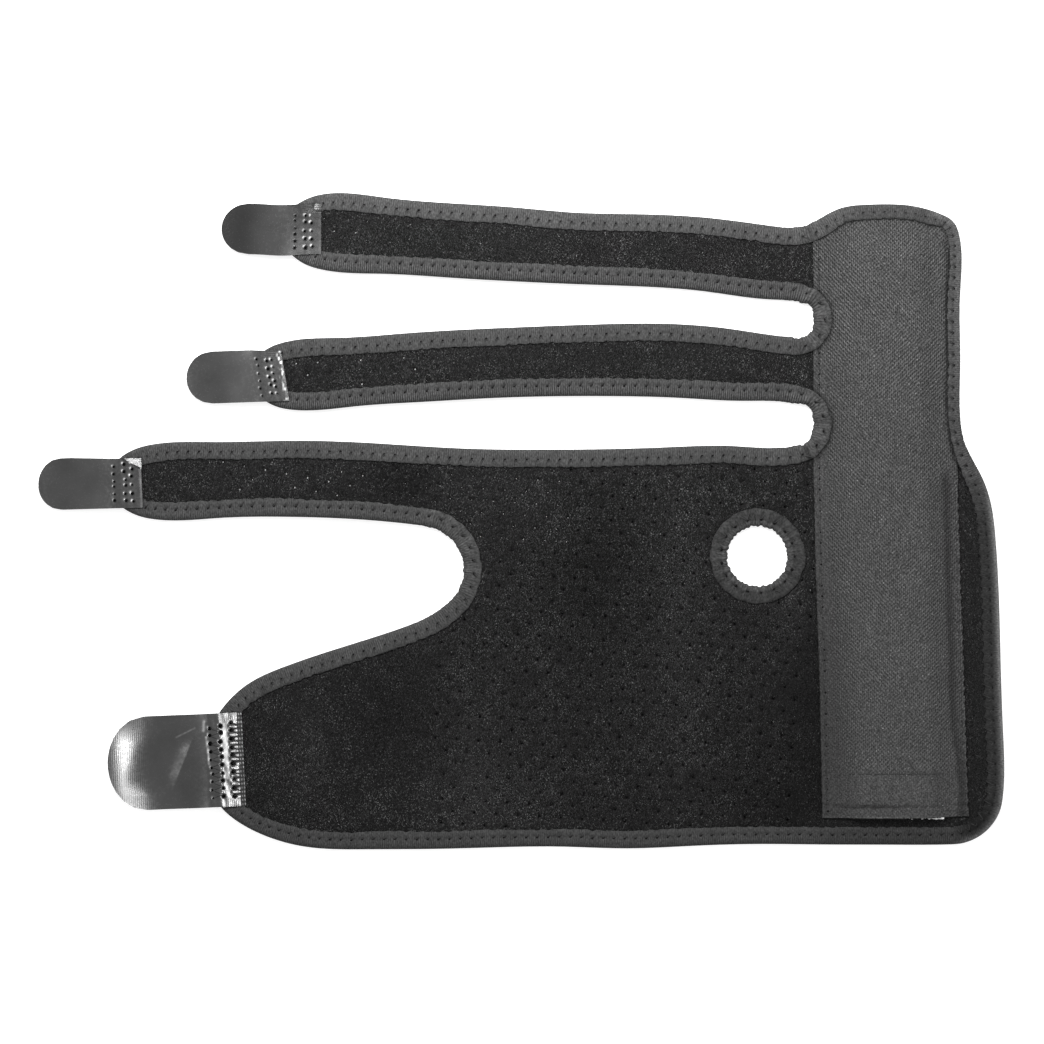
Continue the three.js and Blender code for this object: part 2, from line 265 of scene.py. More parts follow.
class Paint:
    """Nodes of one material, with short ways to add and join them."""

    def __init__(self, name, **sockets):
        self.material = bpy.data.materials.new(name)
        self.material.use_nodes = True
        self.tree = self.material.node_tree
        self.shader = self.tree.nodes["Principled BSDF"]
        for socket, value in sockets.items():
            self.put(self.shader.inputs[socket.replace("_", " ")], value)

    def put(self, socket, value):
        if isinstance(value, bpy.types.NodeSocket):
            self.tree.links.new(value, socket)
        else:
            socket.default_value = value

    def node(self, kind, settings=None, inputs=None, out=0):
        made = self.tree.nodes.new("ShaderNode" + kind)
        for name, value in (settings or {}).items():
            setattr(made, name, value)
        for name, value in (inputs or {}).items():
            self.put(made.inputs[name], value)
        return made.outputs[out]

    def math(self, operation, *values):
        return self.node("Math", {"operation": operation}, dict(enumerate(values)))

    def total(self, *values):
        result = values[0]
        for value in values[1:]:
            result = self.math("ADD", result, value)
        return result

    def product(self, *values):
        result = values[0]
        for value in values[1:]:
            result = self.math("MULTIPLY", result, value)
        return result

    def span(self, value, low, high, new_low, new_high):
        inputs = {"Value": value, "From Min": low, "From Max": high, "To Min": new_low, "To Max": new_high}
        return self.node("MapRange", {"clamp": True}, inputs)

    def where(self):
        return self.node("TexCoord", out="Object")

    def stretch(self, vector, scale, turn=0.0):
        inputs = {"Vector": vector, "Scale": scale, "Rotation": (0, 0, turn)}
        return self.node("Mapping", inputs=inputs)

    def lying(self, vector, turn, stretch):
        """Places turned and squeezed so that a noise there is drawn out along a direction."""
        inputs = {"Vector": vector, "Scale": (stretch, 1, 1), "Rotation": (0, 0, turn)}
        return self.node("Mapping", {"vector_type": "TEXTURE"}, inputs)

    def split(self, vector):
        """The three parts of a vector."""
        parts = self.node("SeparateXYZ", inputs={"Vector": vector}).node
        return parts.outputs[0], parts.outputs[1], parts.outputs[2]

    def stored(self, name, out="Fac"):
        return self.node("Attribute", {"attribute_name": name}, out=out)

    def noise(self, vector, size, detail=2.0, roughness=0.5):
        inputs = {"Vector": vector, "Scale": 1 / size, "Detail": detail, "Roughness": roughness}
        return self.node("TexNoise", inputs=inputs)

    def finish(self, shade, height=None, distance=0.0, strength=1.0):
        self.put(self.shader.inputs["Base Color"], shade)
        if height is not None:
            inputs = {"Height": height, "Distance": distance, "Strength": strength}
            self.put(self.shader.inputs["Normal"], self.node("Bump", inputs=inputs))
        return self.material


# Two ways that the nap lies, pitch of the rows of hooks, and yarns of the sleeve's cloth with their lean.
NAP_TURNS = (math.radians(62), math.radians(118))
ROW_PITCH = 0.73
YARN_PITCH = (0.763, 0.79)
WEAVE_LEAN = math.radians(1.3)

# Middle tones of the materials.
NAP_TONE = 0.0066
LOOP_TONE = 0.012
TAPE_TONE = 0.0285
CLOTH_TONE = 0.0285
PLASTIC_TONE = 0.016
PLASTIC_PALEST = 0.5


def pile_material():
    """Ground of the short dark nap: grain, bright specks, and paler fibres that lie two ways in patches."""
    paint = Paint("napped_foam", Roughness=0.95, Specular_IOR_Level=0.03)
    where = paint.where()
    grain = paint.noise(where, 0.00025, 0.0)
    specks = paint.span(paint.noise(where, 0.0004, 0.0), 0.72, 0.8, 0.0, 12.0)
    clumps = paint.span(paint.noise(where, 0.0022, 3.0, 0.6), 0.3, 0.7, 0.92, 1.08)
    patches = paint.span(paint.noise(where, 0.007, 2.0), 0.4, 0.65, 0.45, 1.0)
    ground = paint.product(paint.span(grain, 0.36, 0.64, 0.3, 1.7), clumps, 0.85)
    fibres = []
    for turn in NAP_TURNS:
        drawn_out = paint.noise(paint.lying(where, turn, 4.0), 0.00026, 0.0)
        fibres.append(paint.span(drawn_out, 0.64, 0.78, 0.0, 3.5))
    bright = paint.product(paint.total(*fibres, specks), patches, paint.stored("specks"))
    tone = paint.total(ground, bright)
    # The stored shade is painted shade beside the sleeve, painted light beyond it, and the nap's patches.
    return paint.finish(paint.product(tone, paint.stored("shade"), NAP_TONE), grain, 0.0002, 0.5)


def nap_material():
    """Hairs of the nap, each with its own shade."""
    paint = Paint("nap_hair", Roughness=0.8, Specular_IOR_Level=0.15)
    fuzz = paint.noise(paint.where(), 0.0004, 2.0)
    return paint.finish(paint.product(paint.stored("shade"), paint.span(fuzz, 0.3, 0.7, 0.7, 1.3)))


def backing_material():
    """Fine looped cloth on the outer face of the foam."""
    paint = Paint("loop_cloth", Roughness=0.9, Specular_IOR_Level=0.05)
    loops = paint.noise(paint.where(), 0.0007, 3.0, 0.7)
    return paint.finish(paint.product(paint.span(loops, 0.3, 0.7, 0.6, 1.4), LOOP_TONE), loops, 0.0004, 0.9)


def tape_material():
    """Ribbed knitted tape: fine ribs across it, loose fibres, and dark ticks at its needle holes."""
    paint = Paint("binding_tape", Roughness=0.85, Specular_IOR_Level=0.1)
    stitch, across, inward = paint.split(paint.stored("tape", "Vector"))
    along = paint.product(stitch, STITCH_PITCH)
    flat = paint.node("CombineXYZ", inputs={"X": along, "Y": across})
    drawn_out = paint.stretch(flat, (1.0, 0.4, 1.0))
    wander = paint.noise(drawn_out, 2.2, 2.0)
    turns = paint.total(paint.product(along, TAU / RIB_PITCH), paint.product(wander, 5.0))
    ribs = paint.product(paint.math("SINE", turns), paint.stored("ribs"))
    fibre = paint.noise(drawn_out, 0.45, 1.0, 0.6)
    clouds = paint.noise(flat, 5.0, 2.0)
    tone = paint.product(
        paint.math("ADD", ribs, 1.0),
        paint.span(fibre, 0.3, 0.7, 0.55, 1.45),
        paint.span(clouds, 0.3, 0.7, 0.88, 1.12),
        needle_tone(paint, stitch, inward),
        # The stored shade holds the tapes' painted light and shade.
        paint.stored("shade"),
        TAPE_TONE,
    )
    return paint.finish(tone, paint.total(paint.product(ribs, 0.5), fibre), 0.0002, 0.8)


def needle_tone(paint, stitch, inward):
    """Tone round the needle holes: a dark tick that slants in from each, some fainter than others."""
    number = paint.math("ROUND", stitch)
    chance = paint.node("TexWhiteNoise", {"noise_dimensions": "1D"}, {"W": number})
    beside = paint.product(paint.math("SUBTRACT", stitch, number), STITCH_PITCH)
    slant = paint.product(paint.math("MAXIMUM", inward, 0.0), TICK_SLANT)
    off_tick = paint.math("ABSOLUTE", paint.math("SUBTRACT", beside, slant))
    tick = paint.product(
        paint.span(off_tick, 0.25, 0.62, 1.0, 0.0),
        paint.span(inward, -0.5, -0.1, 0.0, 1.0),
        paint.span(inward, 0.2, 2.0, 1.0, 0.0),
        paint.span(chance, 0.0, 1.0, 0.7, 1.0),
    )
    return paint.math("SUBTRACT", 1.0, tick)


def cloth_material():
    """Plain weave whose crossings line up in diagonals, one way more than the other from side to side."""
    paint = Paint("woven_cloth", Roughness=0.7, Specular_IOR_Level=0.15)
    where = paint.where()
    turns = tuple(math.pi / (pitch * MM) for pitch in YARN_PITCH)
    x, y, _ = paint.split(paint.stretch(where, (*turns, 1.0), WEAVE_LEAN))
    jitter = paint.product(paint.noise(where, 0.0016, 2.0), 5.0)
    sway = paint.product(paint.noise(where, 0.0023, 2.0), 6.0)
    falling = paint.math("SINE", paint.total(x, y, jitter))
    rising = paint.math("SINE", paint.total(paint.math("SUBTRACT", x, y), sway))
    upright = paint.math("SINE", paint.total(x, x, jitter))
    across, up, _ = paint.split(where)
    drift = paint.math("MULTIPLY_ADD", paint.noise(where, 0.022, 1.0), 1.2, -0.6)
    lean = paint.math("ADD", paint.span(across, 0.12, 0.16, 0.2, 0.8), drift)
    lean = paint.span(lean, 0.1, 0.9, 0.1, 0.9)
    weave = paint.total(
        paint.product(falling, paint.math("SUBTRACT", 1.0, lean)),
        paint.product(rising, lean),
        paint.product(upright, 0.6),
    )
    weave = paint.product(weave, paint.span(up, -0.1, 0.1, 0.7, 1.05), paint.stored("weave"))
    tone = paint.product(
        paint.span(paint.noise(where, 0.0005, 0.0), 0.72, 0.8, 1.0, 2.4),
        paint.span(weave, -1.1, 1.1, 0.3, 1.7),
        paint.span(paint.noise(where, 0.0006, 1.0), 0.32, 0.68, 0.5, 1.5),
        paint.span(paint.noise(where, 0.012, 2.0), 0.3, 0.7, 0.94, 1.06),
        # The stored shade is mostly painted shade, with painted light on the mouth's lip.
        paint.stored("shade"),
        CLOTH_TONE,
    )
    return paint.finish(tone, weave, 0.00006, 0.6)


def plastic_material():
    """Moulded hook plastic, worn to a soft gloss, with fine lines where its hooks stand in rows."""
    paint = Paint("hook_plastic", Specular_IOR_Level=0.5)
    where = paint.where()
    scuffs = paint.noise(where, 0.0011, 3.0, 0.6)
    clouds = paint.noise(where, 0.012, 2.0)
    place, tone, strength = paint.split(paint.stored("rows", "Vector"))
    broken = paint.noise(where, 0.0015, 2.0)
    turns = paint.total(paint.product(place, TAU / ROW_PITCH), paint.product(broken, 3.0))
    rows = paint.product(paint.math("SINE", turns), strength)
    # The stored tone holds painted glints and painted shade, and the mouth strip's painted glint.
    shade = paint.product(paint.span(clouds, 0.3, 0.7, 0.75, 1.25), tone, PLASTIC_TONE)
    shade = paint.math("MINIMUM", shade, PLASTIC_PALEST)
    paint.put(paint.shader.inputs["Roughness"], paint.span(scuffs, 0.3, 0.7, 0.2, 0.3))
    return paint.finish(shade, paint.total(rows, paint.product(scuffs, 2.0)), 0.0000035, 1.0)


def thread_material(name, tone, gloss=0.2):
    """Twisted sewing thread."""
    paint = Paint(name, Roughness=0.6, Specular_IOR_Level=gloss)
    twist = paint.noise(paint.where(), 0.0003, 2.0)
    return paint.finish(paint.product(paint.span(twist, 0.3, 0.7, 0.6, 1.4), tone), twist, 0.00008, 0.6)


MATERIALS = {
    "pile": pile_material(),
    "nap": nap_material(),
    "backing": backing_material(),
    "tape": tape_material(),
    "cloth": cloth_material(),
    "plastic": plastic_material(),
    "dark_thread": thread_material("dark_thread", 0.009),
    # Dark domes at needle holes: partly the thread in them and partly painted shade.
    "hole": thread_material("thread_and_shade_in_hole", 0.002, 0.0),
    "needle_hole": thread_material("needle_hole", 0.0065, 0.0),
    "pale_thread": thread_material("pale_thread", 0.02),
}


# Making meshes


def grid_faces(rows, columns, closed_rows, closed_columns):
    """Quads of a grid of vertices, row by row."""
    row = np.arange(rows if closed_rows else rows - 1)[:, None]
    column = np.arange(columns if closed_columns else columns - 1)[None, :]
    next_row = (row + 1) % rows * columns
    next_column = (column + 1) % columns
    row = row * columns
    corners = [row + column, next_row + column, next_row + next_column, row + next_column]
    return np.stack([corner.ravel() for corner in np.broadcast_arrays(*corners)], 1)


class Bundle:
    """Vertices and faces that gather into one mesh."""

    def __init__(self):
        self.points = []
        self.faces = []
        self.count = 0

    def add(self, points, faces):
        self.points.append(points)
        self.faces.extend((np.asarray(faces) + self.count).tolist())
        self.count += len(points)

    def tube(self, path, radius, sides=5):
        """A closed round strand along a path."""
        way = np.gradient(path, axis=0)
        way /= np.linalg.norm(way, axis=1)[:, None]
        side = np.cross(way, (0, 0, 1))
        side /= np.linalg.norm(side, axis=1)[:, None]
        up = np.cross(side, way)
        turn = np.arange(sides) * TAU / sides
        ring = np.cos(turn)[None, :, None] * side[:, None] + np.sin(turn)[None, :, None] * up[:, None]
        points = (path[:, None] + radius * ring).reshape(-1, 3)
        first = self.count
        self.add(points, grid_faces(len(path), sides, False, True)[:, ::-1])
        last = first + (len(path) - 1) * sides
        self.faces.append([first + k for k in range(sides)])
        self.faces.append([last + k for k in reversed(range(sides))])

    def bead(self, at, radius, height, sides=6):
        """A small closed dome, such as the dark dot of a needle hole, partly its thread and partly painted
        shade.
        """
        turn = np.arange(sides) * TAU / sides
        ring = np.column_stack([np.cos(turn) * radius, np.sin(turn) * radius, 0 * turn])
        points = np.concatenate([ring, [[0, 0, height], [0, 0, -height]]]) + at
        upper = [(k, (k + 1) % sides, sides) for k in range(sides)]
        lower = [((k + 1) % sides, k, sides + 1) for k in range(sides)]
        self.add(points, upper + lower)

    def all(self):
        return np.concatenate(self.points), self.faces


def make_piece(name, points, faces, material, slot, replaces=(), smooth_faces=True, crisp=False):
    """An object of the scene from points in millimetres, laid on the waves of the sheet."""
    points = np.array(points, float)
    points[:, 2] += lay(points[:, 0], points[:, 1])
    mesh = bpy.data.meshes.new(name)
    mesh.from_pydata((points * MM).tolist(), [], faces if isinstance(faces, list) else faces.tolist())
    mesh.materials.append(MATERIALS[material])
    if smooth_faces:
        mesh.shade_smooth()
    if crisp:
        mesh.set_sharp_from_angle(angle=math.radians(55))
    piece = bpy.data.objects.new(name, mesh)
    bpy.context.scene.collection.objects.link(piece)
    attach(piece, "root")
    if replaces:
        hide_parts(*replaces)
    return piece


def keep_numbers(piece, name, values):
    """Stores a number for each vertex of a piece, for its material to read."""
    layer = piece.data.attributes.new(name, "FLOAT", "POINT")
    layer.data.foreach_set("value", np.asarray(values, np.float32).ravel())


def keep_vectors(piece, name, values):
    """Stores a vector for each vertex of a piece, for its material to read."""
    layer = piece.data.attributes.new(name, "FLOAT_VECTOR", "POINT")
    layer.data.foreach_set("vector", np.asarray(values, np.float32).ravel())


def plate(flat, top, bottom):
    """A closed plate over a grid of places, with its upper and lower heights."""
    rows, columns = top.shape
    upper = np.concatenate([flat, top[..., None]], 2).reshape(-1, 3)
    lower = np.concatenate([flat, bottom[..., None]], 2).reshape(-1, 3)
    count = rows * columns
    quads = grid_faces(rows, columns, False, False)
    index = np.arange(count).reshape(rows, columns)
    ring = np.concatenate([index[0, :-1], index[:-1, -1], index[-1, :0:-1], index[:0:-1, 0]])
    onward = np.roll(ring, -1)
    sides = np.stack([ring, onward, onward + count, ring + count], 1)
    return np.concatenate([upper, lower]), np.concatenate([quads, quads[:, ::-1] + count, sides])


def tree_of(points):
    """A tree that finds the nearest of some flat points."""
    tree = kdtree.KDTree(len(points))
    for number, (x, y) in enumerate(points):
        tree.insert((x, y, 0), number)
    tree.balance()
    return tree


def triangle_sizes(flat, faces):
    """Area of each triangle."""
    first, second, third = (flat[faces[:, k]] for k in range(3))
    return np.abs(np.cross(second - first, third - first)) / 2


# Shape of the hook tabs

# Thickness of a tab, how far its round end drops, and how far its sewn end is pressed in.
TAB_SHEET = 0.75
TAB_DROP = 2.2
TAB_PRESS = 0.5

# Settings of a plain tab: slants, bends, one lifted corner, its tone painted lighter or darker for how light
# falls on it and painted shade towards its tip, how clear its rows are, and its spread.
TAB_PLAIN = {
    "large": False, "slant": 0.0, "bulge": 0.05, "fall": 0.0, "fall_from": 0.0, "curl": 0.0,
    "roll": 0.05, "roll_reach": 1.5,
    "corner": 0.0, "corner_reach": 3.0, "corner_long": 3.0, "corner_cut": 1.5,
    "tone": 1.0, "tip_painted_shade": 1.0, "rows": 0.6, "sag": 0.0, "stretch": 0.35, "spread": (0.0, 0.0),
}

# Tabs: columns are rows of needle holes from the sewn end, with painted glints beside them, and strokes are
# painted glints along edges and ridges, one of them lying on a scratch.
TABS = [
    {
        **TAB_PLAIN,
        "node": "upper_strap_tab", "tone": 0.95, "tip_painted_shade": 0.35, "rows": 0.3, "sag": -0.7,
        "corner": 0.085, "corner_reach": 2.6, "corner_long": 2.6, "corner_cut": 1.7,
        "columns": [
            {"along": 3.55, "across": -2.1, "count": 4, "step": 2.83, "radius": 0.48, "painted_glint": 13},
            {"along": 6.15, "across": -0.6, "count": 5, "step": 3.0, "radius": 0.56, "painted_glint": 13},
            {"along": 9.7, "across": -0.6, "count": 6, "step": 2.48, "radius": 0.38, "painted_glint": 0.6},
        ],
        "strokes": [{"start": (4.5, 8.2), "end": (4.4, 4.8), "reach": 0.3, "painted_glint": 12}],
    },
    {
        **TAB_PLAIN,
        "node": "middle_strap_tab", "tone": 1.35, "tip_painted_shade": 0.7, "slant": 0.14, "bulge": 0.1,
        "stretch": 0.6, "spread": (0.6, 0.6),
        "columns": [
            {"along": 4.3, "across": -0.3, "count": 6, "step": 2.52, "radius": 0.42, "painted_glint": 13},
            {"along": 6.0, "across": -0.3, "count": 5, "step": 3.0, "radius": 0.52, "painted_glint": 9},
            {"along": 9.8, "across": -0.3, "count": 6, "step": 2.76, "radius": 0.38, "painted_glint": 4},
        ],
        "strokes": [{"start": (1.1, 8.9), "end": (0.9, -8.9), "reach": 0.6, "painted_glint": 24}],
    },
    {
        **TAB_PLAIN,
        "node": "lower_strap_tab", "tone": 1.2, "tip_painted_shade": 0.65, "slant": 0.02, "spread": (0.2, 0.85),
        "corner": 0.13, "corner_reach": 3.6, "corner_long": 6.4, "corner_cut": 1.05,
        "columns": [
            {"along": 3.7, "across": -0.5, "count": 5, "step": 3.05, "radius": 0.52, "painted_glint": 11},
            {"along": 6.3, "across": 0.3, "count": 6, "step": 2.7, "radius": 0.56, "painted_glint": 9},
            {"along": 10.4, "across": -0.2, "count": 6, "step": 2.53, "radius": 0.46, "painted_glint": 4},
        ],
        "strokes": [
            {"start": (0.25, 8.6), "end": (0.25, 5.4), "reach": 0.25, "painted_glint": 14},
            {"start": (12.6, -2.4), "end": (11.2, -4.6), "reach": 0.6, "painted_glint": 4},
        ],
    },
    {
        **TAB_PLAIN,
        "node": "wrist_tab", "large": True, "bulge": 0.45, "fall": 0.085, "fall_from": 8.5, "roll": 0.7,
        "roll_reach": 2.4, "curl": 2.4, "rows": 1.0, "stretch": 0.0,
        "columns": [
            {"along": 4.1, "across": 0.0, "count": 10, "step": 3.07, "radius": 0.78, "painted_glint": 6},
            {"along": 8.1, "across": -0.5, "count": 10, "step": 2.96, "radius": 0.68, "painted_glint": 4},
            {
                "along": 12.0, "across": -1.4, "count": 10, "step": 2.9, "radius": 0.5, "painted_glint": 7,
                "swell": 0.75,
            },
        ],
        "strokes": [
            {"start": (24.9, 8.6), "end": (17.6, 12.0), "reach": 0.22, "painted_glint": 2.4},
            {"start": (13.9, 14.4), "end": (14.5, 11.0), "reach": 0.55, "painted_glint": 5},
            {"start": (13.5, 8.4), "end": (12.9, -1.5), "reach": 0.4, "painted_glint": 8},
            {"start": (6.6, 13.2), "end": (5.8, 6.0), "reach": 0.55, "painted_glint": 9},
            {"start": (5.8, 6.0), "end": (6.3, -7.0), "reach": 0.4, "painted_glint": 7},
        ],
    },
]


class Tab:
    """A hook tab from its CAD node, measured from the middle of its sewn end towards its round end."""

    def __init__(self, row):
        self.row = row
        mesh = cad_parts[row["node"]].data
        points = node_points(row["node"])
        order = np.unique(np.round(points, 2), axis=0)
        order = order[np.argsort(order[:, 0])]
        ends, tip = order[-4:], order[:4].mean(0)
        self.sewn = ends.mean(0)[:2]
        way = tip[:2] - self.sewn
        self.way = way / np.linalg.norm(way)
        self.side = np.array([self.way[1], -self.way[0]])
        self.base = float(ends[:, 2].min()) - TAB_PRESS
        place = (ends[:, :2] - self.sewn) @ self.side
        reach = (ends[:, :2] - self.sewn) @ self.way
        self.skew = (reach[place.argmax()] - reach[place.argmin()]) / np.ptp(place) + row["slant"]
        along, across = self.measure(points[:, :2])
        self.length = float(along.max())
        self.half = float(np.ptp(place)) / 2
        pairs = [list(edge.vertices) for edge in mesh.edges]
        self.edges = [(along[pair], across[pair]) for pair in pairs]
        self.last, self.middle, self.first = (column["along"] for column in row["columns"])
        self.holes = self.needle_holes()

    def needle_holes(self):
        """Needle holes in three columns, none quite alike: along, across, radius, depth and painted glint."""
        draw = np.random.default_rng(len(self.row["node"]))
        holes = []
        for column in self.row["columns"]:
            count = column["count"]
            for k in range(count):
                along = column["along"] + draw.normal(0, 0.14)
                across = column["across"] + (k - (count - 1) / 2) * column["step"] + draw.normal(0, 0.2)
                swell = 1 + column.get("swell", 0) * smooth(0, 4, across)
                radius = column["radius"] * draw.uniform(0.75, 1.15) * swell
                depth = draw.uniform(0.4, 0.55)
                holes.append((along, across, radius, depth, column["painted_glint"] * draw.uniform(0.45, 1.2)))
        return holes

    def measure(self, at):
        """How far along and across the tab a place lies."""
        across = (at - self.sewn) @ self.side
        return (at - self.sewn) @ self.way - self.skew * across, across

    def place(self, along, across):
        """The place that lies so far along and across the tab."""
        along, across = np.asarray(along)[..., None], np.asarray(across)[..., None]
        drawn_out = along + self.row["stretch"] * smooth(14, self.length, along)
        sagged = across + self.row["sag"] * hump(along - 15, 8)
        return self.sewn + self.way * (drawn_out + self.skew * across) + self.side * sagged

    def spans(self, along):
        """Lower and upper ends of the tab across, at each distance along."""
        low = np.full_like(along, np.inf)
        high = np.full_like(along, -np.inf)
        for (start, end), (start_across, end_across) in self.edges:
            if abs(end - start) < 1e-6:
                continue
            share = (along - start) / (end - start)
            across = start_across + share * (end_across - start_across)
            crossed = (share >= 0) & (share <= 1)
            low = np.where(crossed, np.minimum(low, across), low)
            high = np.where(crossed, np.maximum(high, across), high)
        return low, high

    def height(self, along, across, pierced=True):
        """Upper face: it falls from the tape to the floor, curls at its tip, and its seams pull it about."""
        row = self.row
        sewn = fade(self.first + 0.3, self.first + 1.6, along)
        z = self.base + TAB_SHEET + 0.05 - TAB_DROP * smooth(self.first + 2, self.first + 26, along)
        z = z + 0.35 * (across / self.half) ** 2 * smooth(8, 20, along)
        z = z + row["curl"] * np.clip((along / self.length - 0.58) / 0.42, 0, None) ** 3
        z = z + row["bulge"] * fade(self.middle + 0.3, self.first + 2.5, along)
        z = z - row["fall"] * np.clip(row["fall_from"] - along, 0, None)
        z = z - row["roll"] * fade(0, row["roll_reach"], along) ** 2
        z = z + (0.04 if row["large"] else 0.01) * sewn * ripple(along, across, 3.6, 41)
        z = z + row["corner"] * self.corner(along, across)
        if row["large"]:
            z = z + self.buckle(along, across) + self.ridges(along, across)
        if pierced:
            for hole_along, hole_across, radius, depth, _ in self.holes:
                away = np.hypot(along - hole_along, across - hole_across) / radius
                z = z - depth * np.exp(-(away**4))
        return z

    def corner(self, along, across):
        """A corner of the sewn end that is bent, lifted across and fallen along."""
        reach, long, cut = (self.row["corner_" + name] for name in ("reach", "long", "cut"))
        lifted = np.clip(across - self.half + reach, 0, None) * fade(long - 0.4, long + 1.1, along)
        edge = self.half - reach
        fallen = np.clip(long + 0.2 - along, 0, None) * smooth(edge - 0.6, edge + 0.4, across)
        return (lifted - fallen) * fade(cut, cut + 0.2, along / long + (self.half - across) / reach)

    def buckle(self, along, across):
        """Large tab: a dished end, and a kink across it where it leaves the tape."""
        lean = across - 5
        dish = np.where(lean > 0, 0.005, 0.0015) * lean**2 * smooth(24, 44, along)
        past = along - 21.3 + 0.45 * (across - 2)
        facet = 4 - 0.8 * np.logaddexp(0, (4 - np.clip(past, 0, None)) / 0.8)
        bent = 0.225 * smooth(-14, -5, across) * fade(3, 11, across)
        return dish + bent * facet * fade(5, 22, past)

    def ridges(self, along, across):
        """Ridges of the large tab between its stitches: beside the last column and between the other two."""
        between = beat(across / self.row["columns"][0]["step"])
        beside = smooth(0.4, 1.2, along) * fade(self.last + 0.4, self.last + 1.4, along)
        fan = smooth(self.middle - 0.6, self.middle + 0.4, along)
        fan = fan * fade(self.first - 0.2, self.first + 0.6, along)
        within = fade(13.5, 14.8, np.abs(across))
        uneven = 1 + 0.5 * ripple(0 * across, across, 5, 43)
        return (0.16 * beside + 0.14 * fan) * between * within * uneven

    def tone(self, along, across):
        """How light the plastic is painted: each tab lighter or darker for how light falls on it, painted
        shade towards its tip and over a small tab's sewn end, painted glints beside needle holes and along
        strokes, and on the large tab painted glints on the ridges at its cut end over painted shade.
        """
        row = self.row
        # Each tab's tone is painted lighter or darker for how light falls on it, with painted shade towards
        # its tip.
        tone = row["tone"] * (1 - (1 - row["tip_painted_shade"]) * smooth(0.5, 0.8, along / self.length))
        # Painted shade over the sewn end of a small tab.
        if not row["large"]:
            tone = tone * (0.4 + 0.6 * smooth(9, 17, along))
        # Painted glints beside the needle holes.
        for hole_along, hole_across, radius, _, painted_glint in self.holes:
            away = np.hypot(along - hole_along - radius, across - hole_across - 0.8 * radius)
            tone = tone + 1.6 * painted_glint * hump(away, 0.42)
        if row["large"]:
            # Painted glints on the ridges at the large tab's cut end, over painted shade.
            broken = np.clip(0.75 + 0.6 * ripple(along, across, 1.9, 44), 0.2, 1)
            end = fade(1.6, 2.4, along)
            lines = np.clip(0.3 + np.sin(along * TAU / 0.85 + ripple(along, across, 4, 47)), 0, 1)
            gaps = np.clip(0.4 + np.cos(across * TAU / row["columns"][0]["step"] * 2), 0, 1)
            tone = tone * (1 - 0.65 * end) + 11 * end * lines * gaps * broken
        else:
            broken = np.clip(0.25 + 1.5 * ripple(along, across, 1.3, 44), 0, 1)
            broken = broken * np.clip(0.6 + 1.0 * ripple(along, across, 3.3, 46), 0.1, 1)
            along = along + 0.4 * ripple(0 * along, across, 2.6, 45)
        # Painted glints along the strokes.
        for stroke in row["strokes"]:
            away = off_line(along, across, stroke["start"], stroke["end"])
            tone = tone + 1.5 * stroke["painted_glint"] * broken * hump(away, stroke["reach"])
        return tone


tabs = [Tab(row) for row in TABS]


def dented(points):
    """Points pressed down under the sewn ends of the tabs, the more the higher they lie."""
    points = np.array(points, float)
    for tab in tabs:
        along, across = tab.measure(points[:, :2])
        under = smooth(-0.9, -0.2, along) * fade(14, 16, along)
        under = under * fade(tab.half - 0.6, tab.half, np.abs(across))
        points[:, 2] -= TAB_PRESS * under * smooth(0.3, 2.5, points[:, 2])
    return points


# Foam panel

# Perforations: spacing, radius where they are blind, open or nearly closed, and floor of a blind one.
HOLE_PITCH = 8.1
HOLE_ROWS = 4.5
PERFORATION = {"blind": 0.45, "strap": 0.33, "root": 0.13}
PIT_FLOOR = 0.9

# Fields of perforations: a middle, the lean of the rows in degrees, and the ends of the field.
HOLE_FIELDS = [
    {"x": 43.6, "y": -40.8, "lean": -3.5, "from_x": -32, "to_x": 200, "from_y": -130, "to_y": 30},
    {"x": -67.1, "y": 18.6, "lean": -10.5, "from_x": -112, "to_x": -32, "from_y": -3, "to_y": 34},
    {"x": -70.0, "y": 109.0, "lean": -4.0, "from_x": -90, "to_x": -12, "from_y": 85, "to_y": 130},
    {"x": -80.0, "y": 55.0, "lean": 3.0, "from_x": -100, "to_x": -12, "from_y": 40, "to_y": 75},
]

# Soft creases across the panel: ends, depth and half width.
CREASES = [
    {"start": (-73.9, -69.6), "end": (-67.5, -104.1), "depth": 0.35, "reach": 1.6},
    {"start": (39.4, -71.1), "end": (39.4, -89.8), "depth": 0.25, "reach": 1.5},
    {"start": (-5.3, 18.6), "end": (-5.3, 9.9), "depth": 0.25, "reach": 1.4},
]

# Patches where the nap is paler or darker.
NAP_PATCHES = [
    {"x": -80, "y": -88, "reach_x": 8, "reach_y": 20, "paler": 0.36},
    {"x": -19, "y": -84, "reach_x": 8, "reach_y": 32, "paler": 0.28},
    {"x": -12, "y": -106, "reach_x": 22, "reach_y": 18, "paler": 0.5},
    {"x": -50, "y": -72, "reach_x": 24, "reach_y": 24, "paler": -0.24},
    {"x": -45, "y": 16, "reach_x": 14, "reach_y": 8, "paler": -0.42},
    {"x": 27, "y": -18, "reach_x": 18, "reach_y": 28, "paler": -0.32},
    {"x": 60, "y": -45, "reach_x": 9, "reach_y": 75, "paler": 0.28},
    {"x": 101, "y": -33, "reach_x": 7, "reach_y": 18, "paler": 0.36},
    {"x": 92, "y": -106, "reach_x": 11, "reach_y": 14, "paler": -0.24},
]

# Room that a perforation needs beside a tape, and how flat the nap may be rubbed before they close.
HOLE_ROOM = 0.9
HOLE_RUBBED = 0.6
HOLE_SUNK = 0.1

# The foam's mesh: how far it goes under the tapes, its spacing round it and inside, and room at a hole.
UNDER_TAPE = 2.0
EDGE_LIFT = 0.75
EDGE_STEP = 1.45
RING_STEPS = 70
GRID_STEP = 2.3
HOLE_CLEAR = 1.15


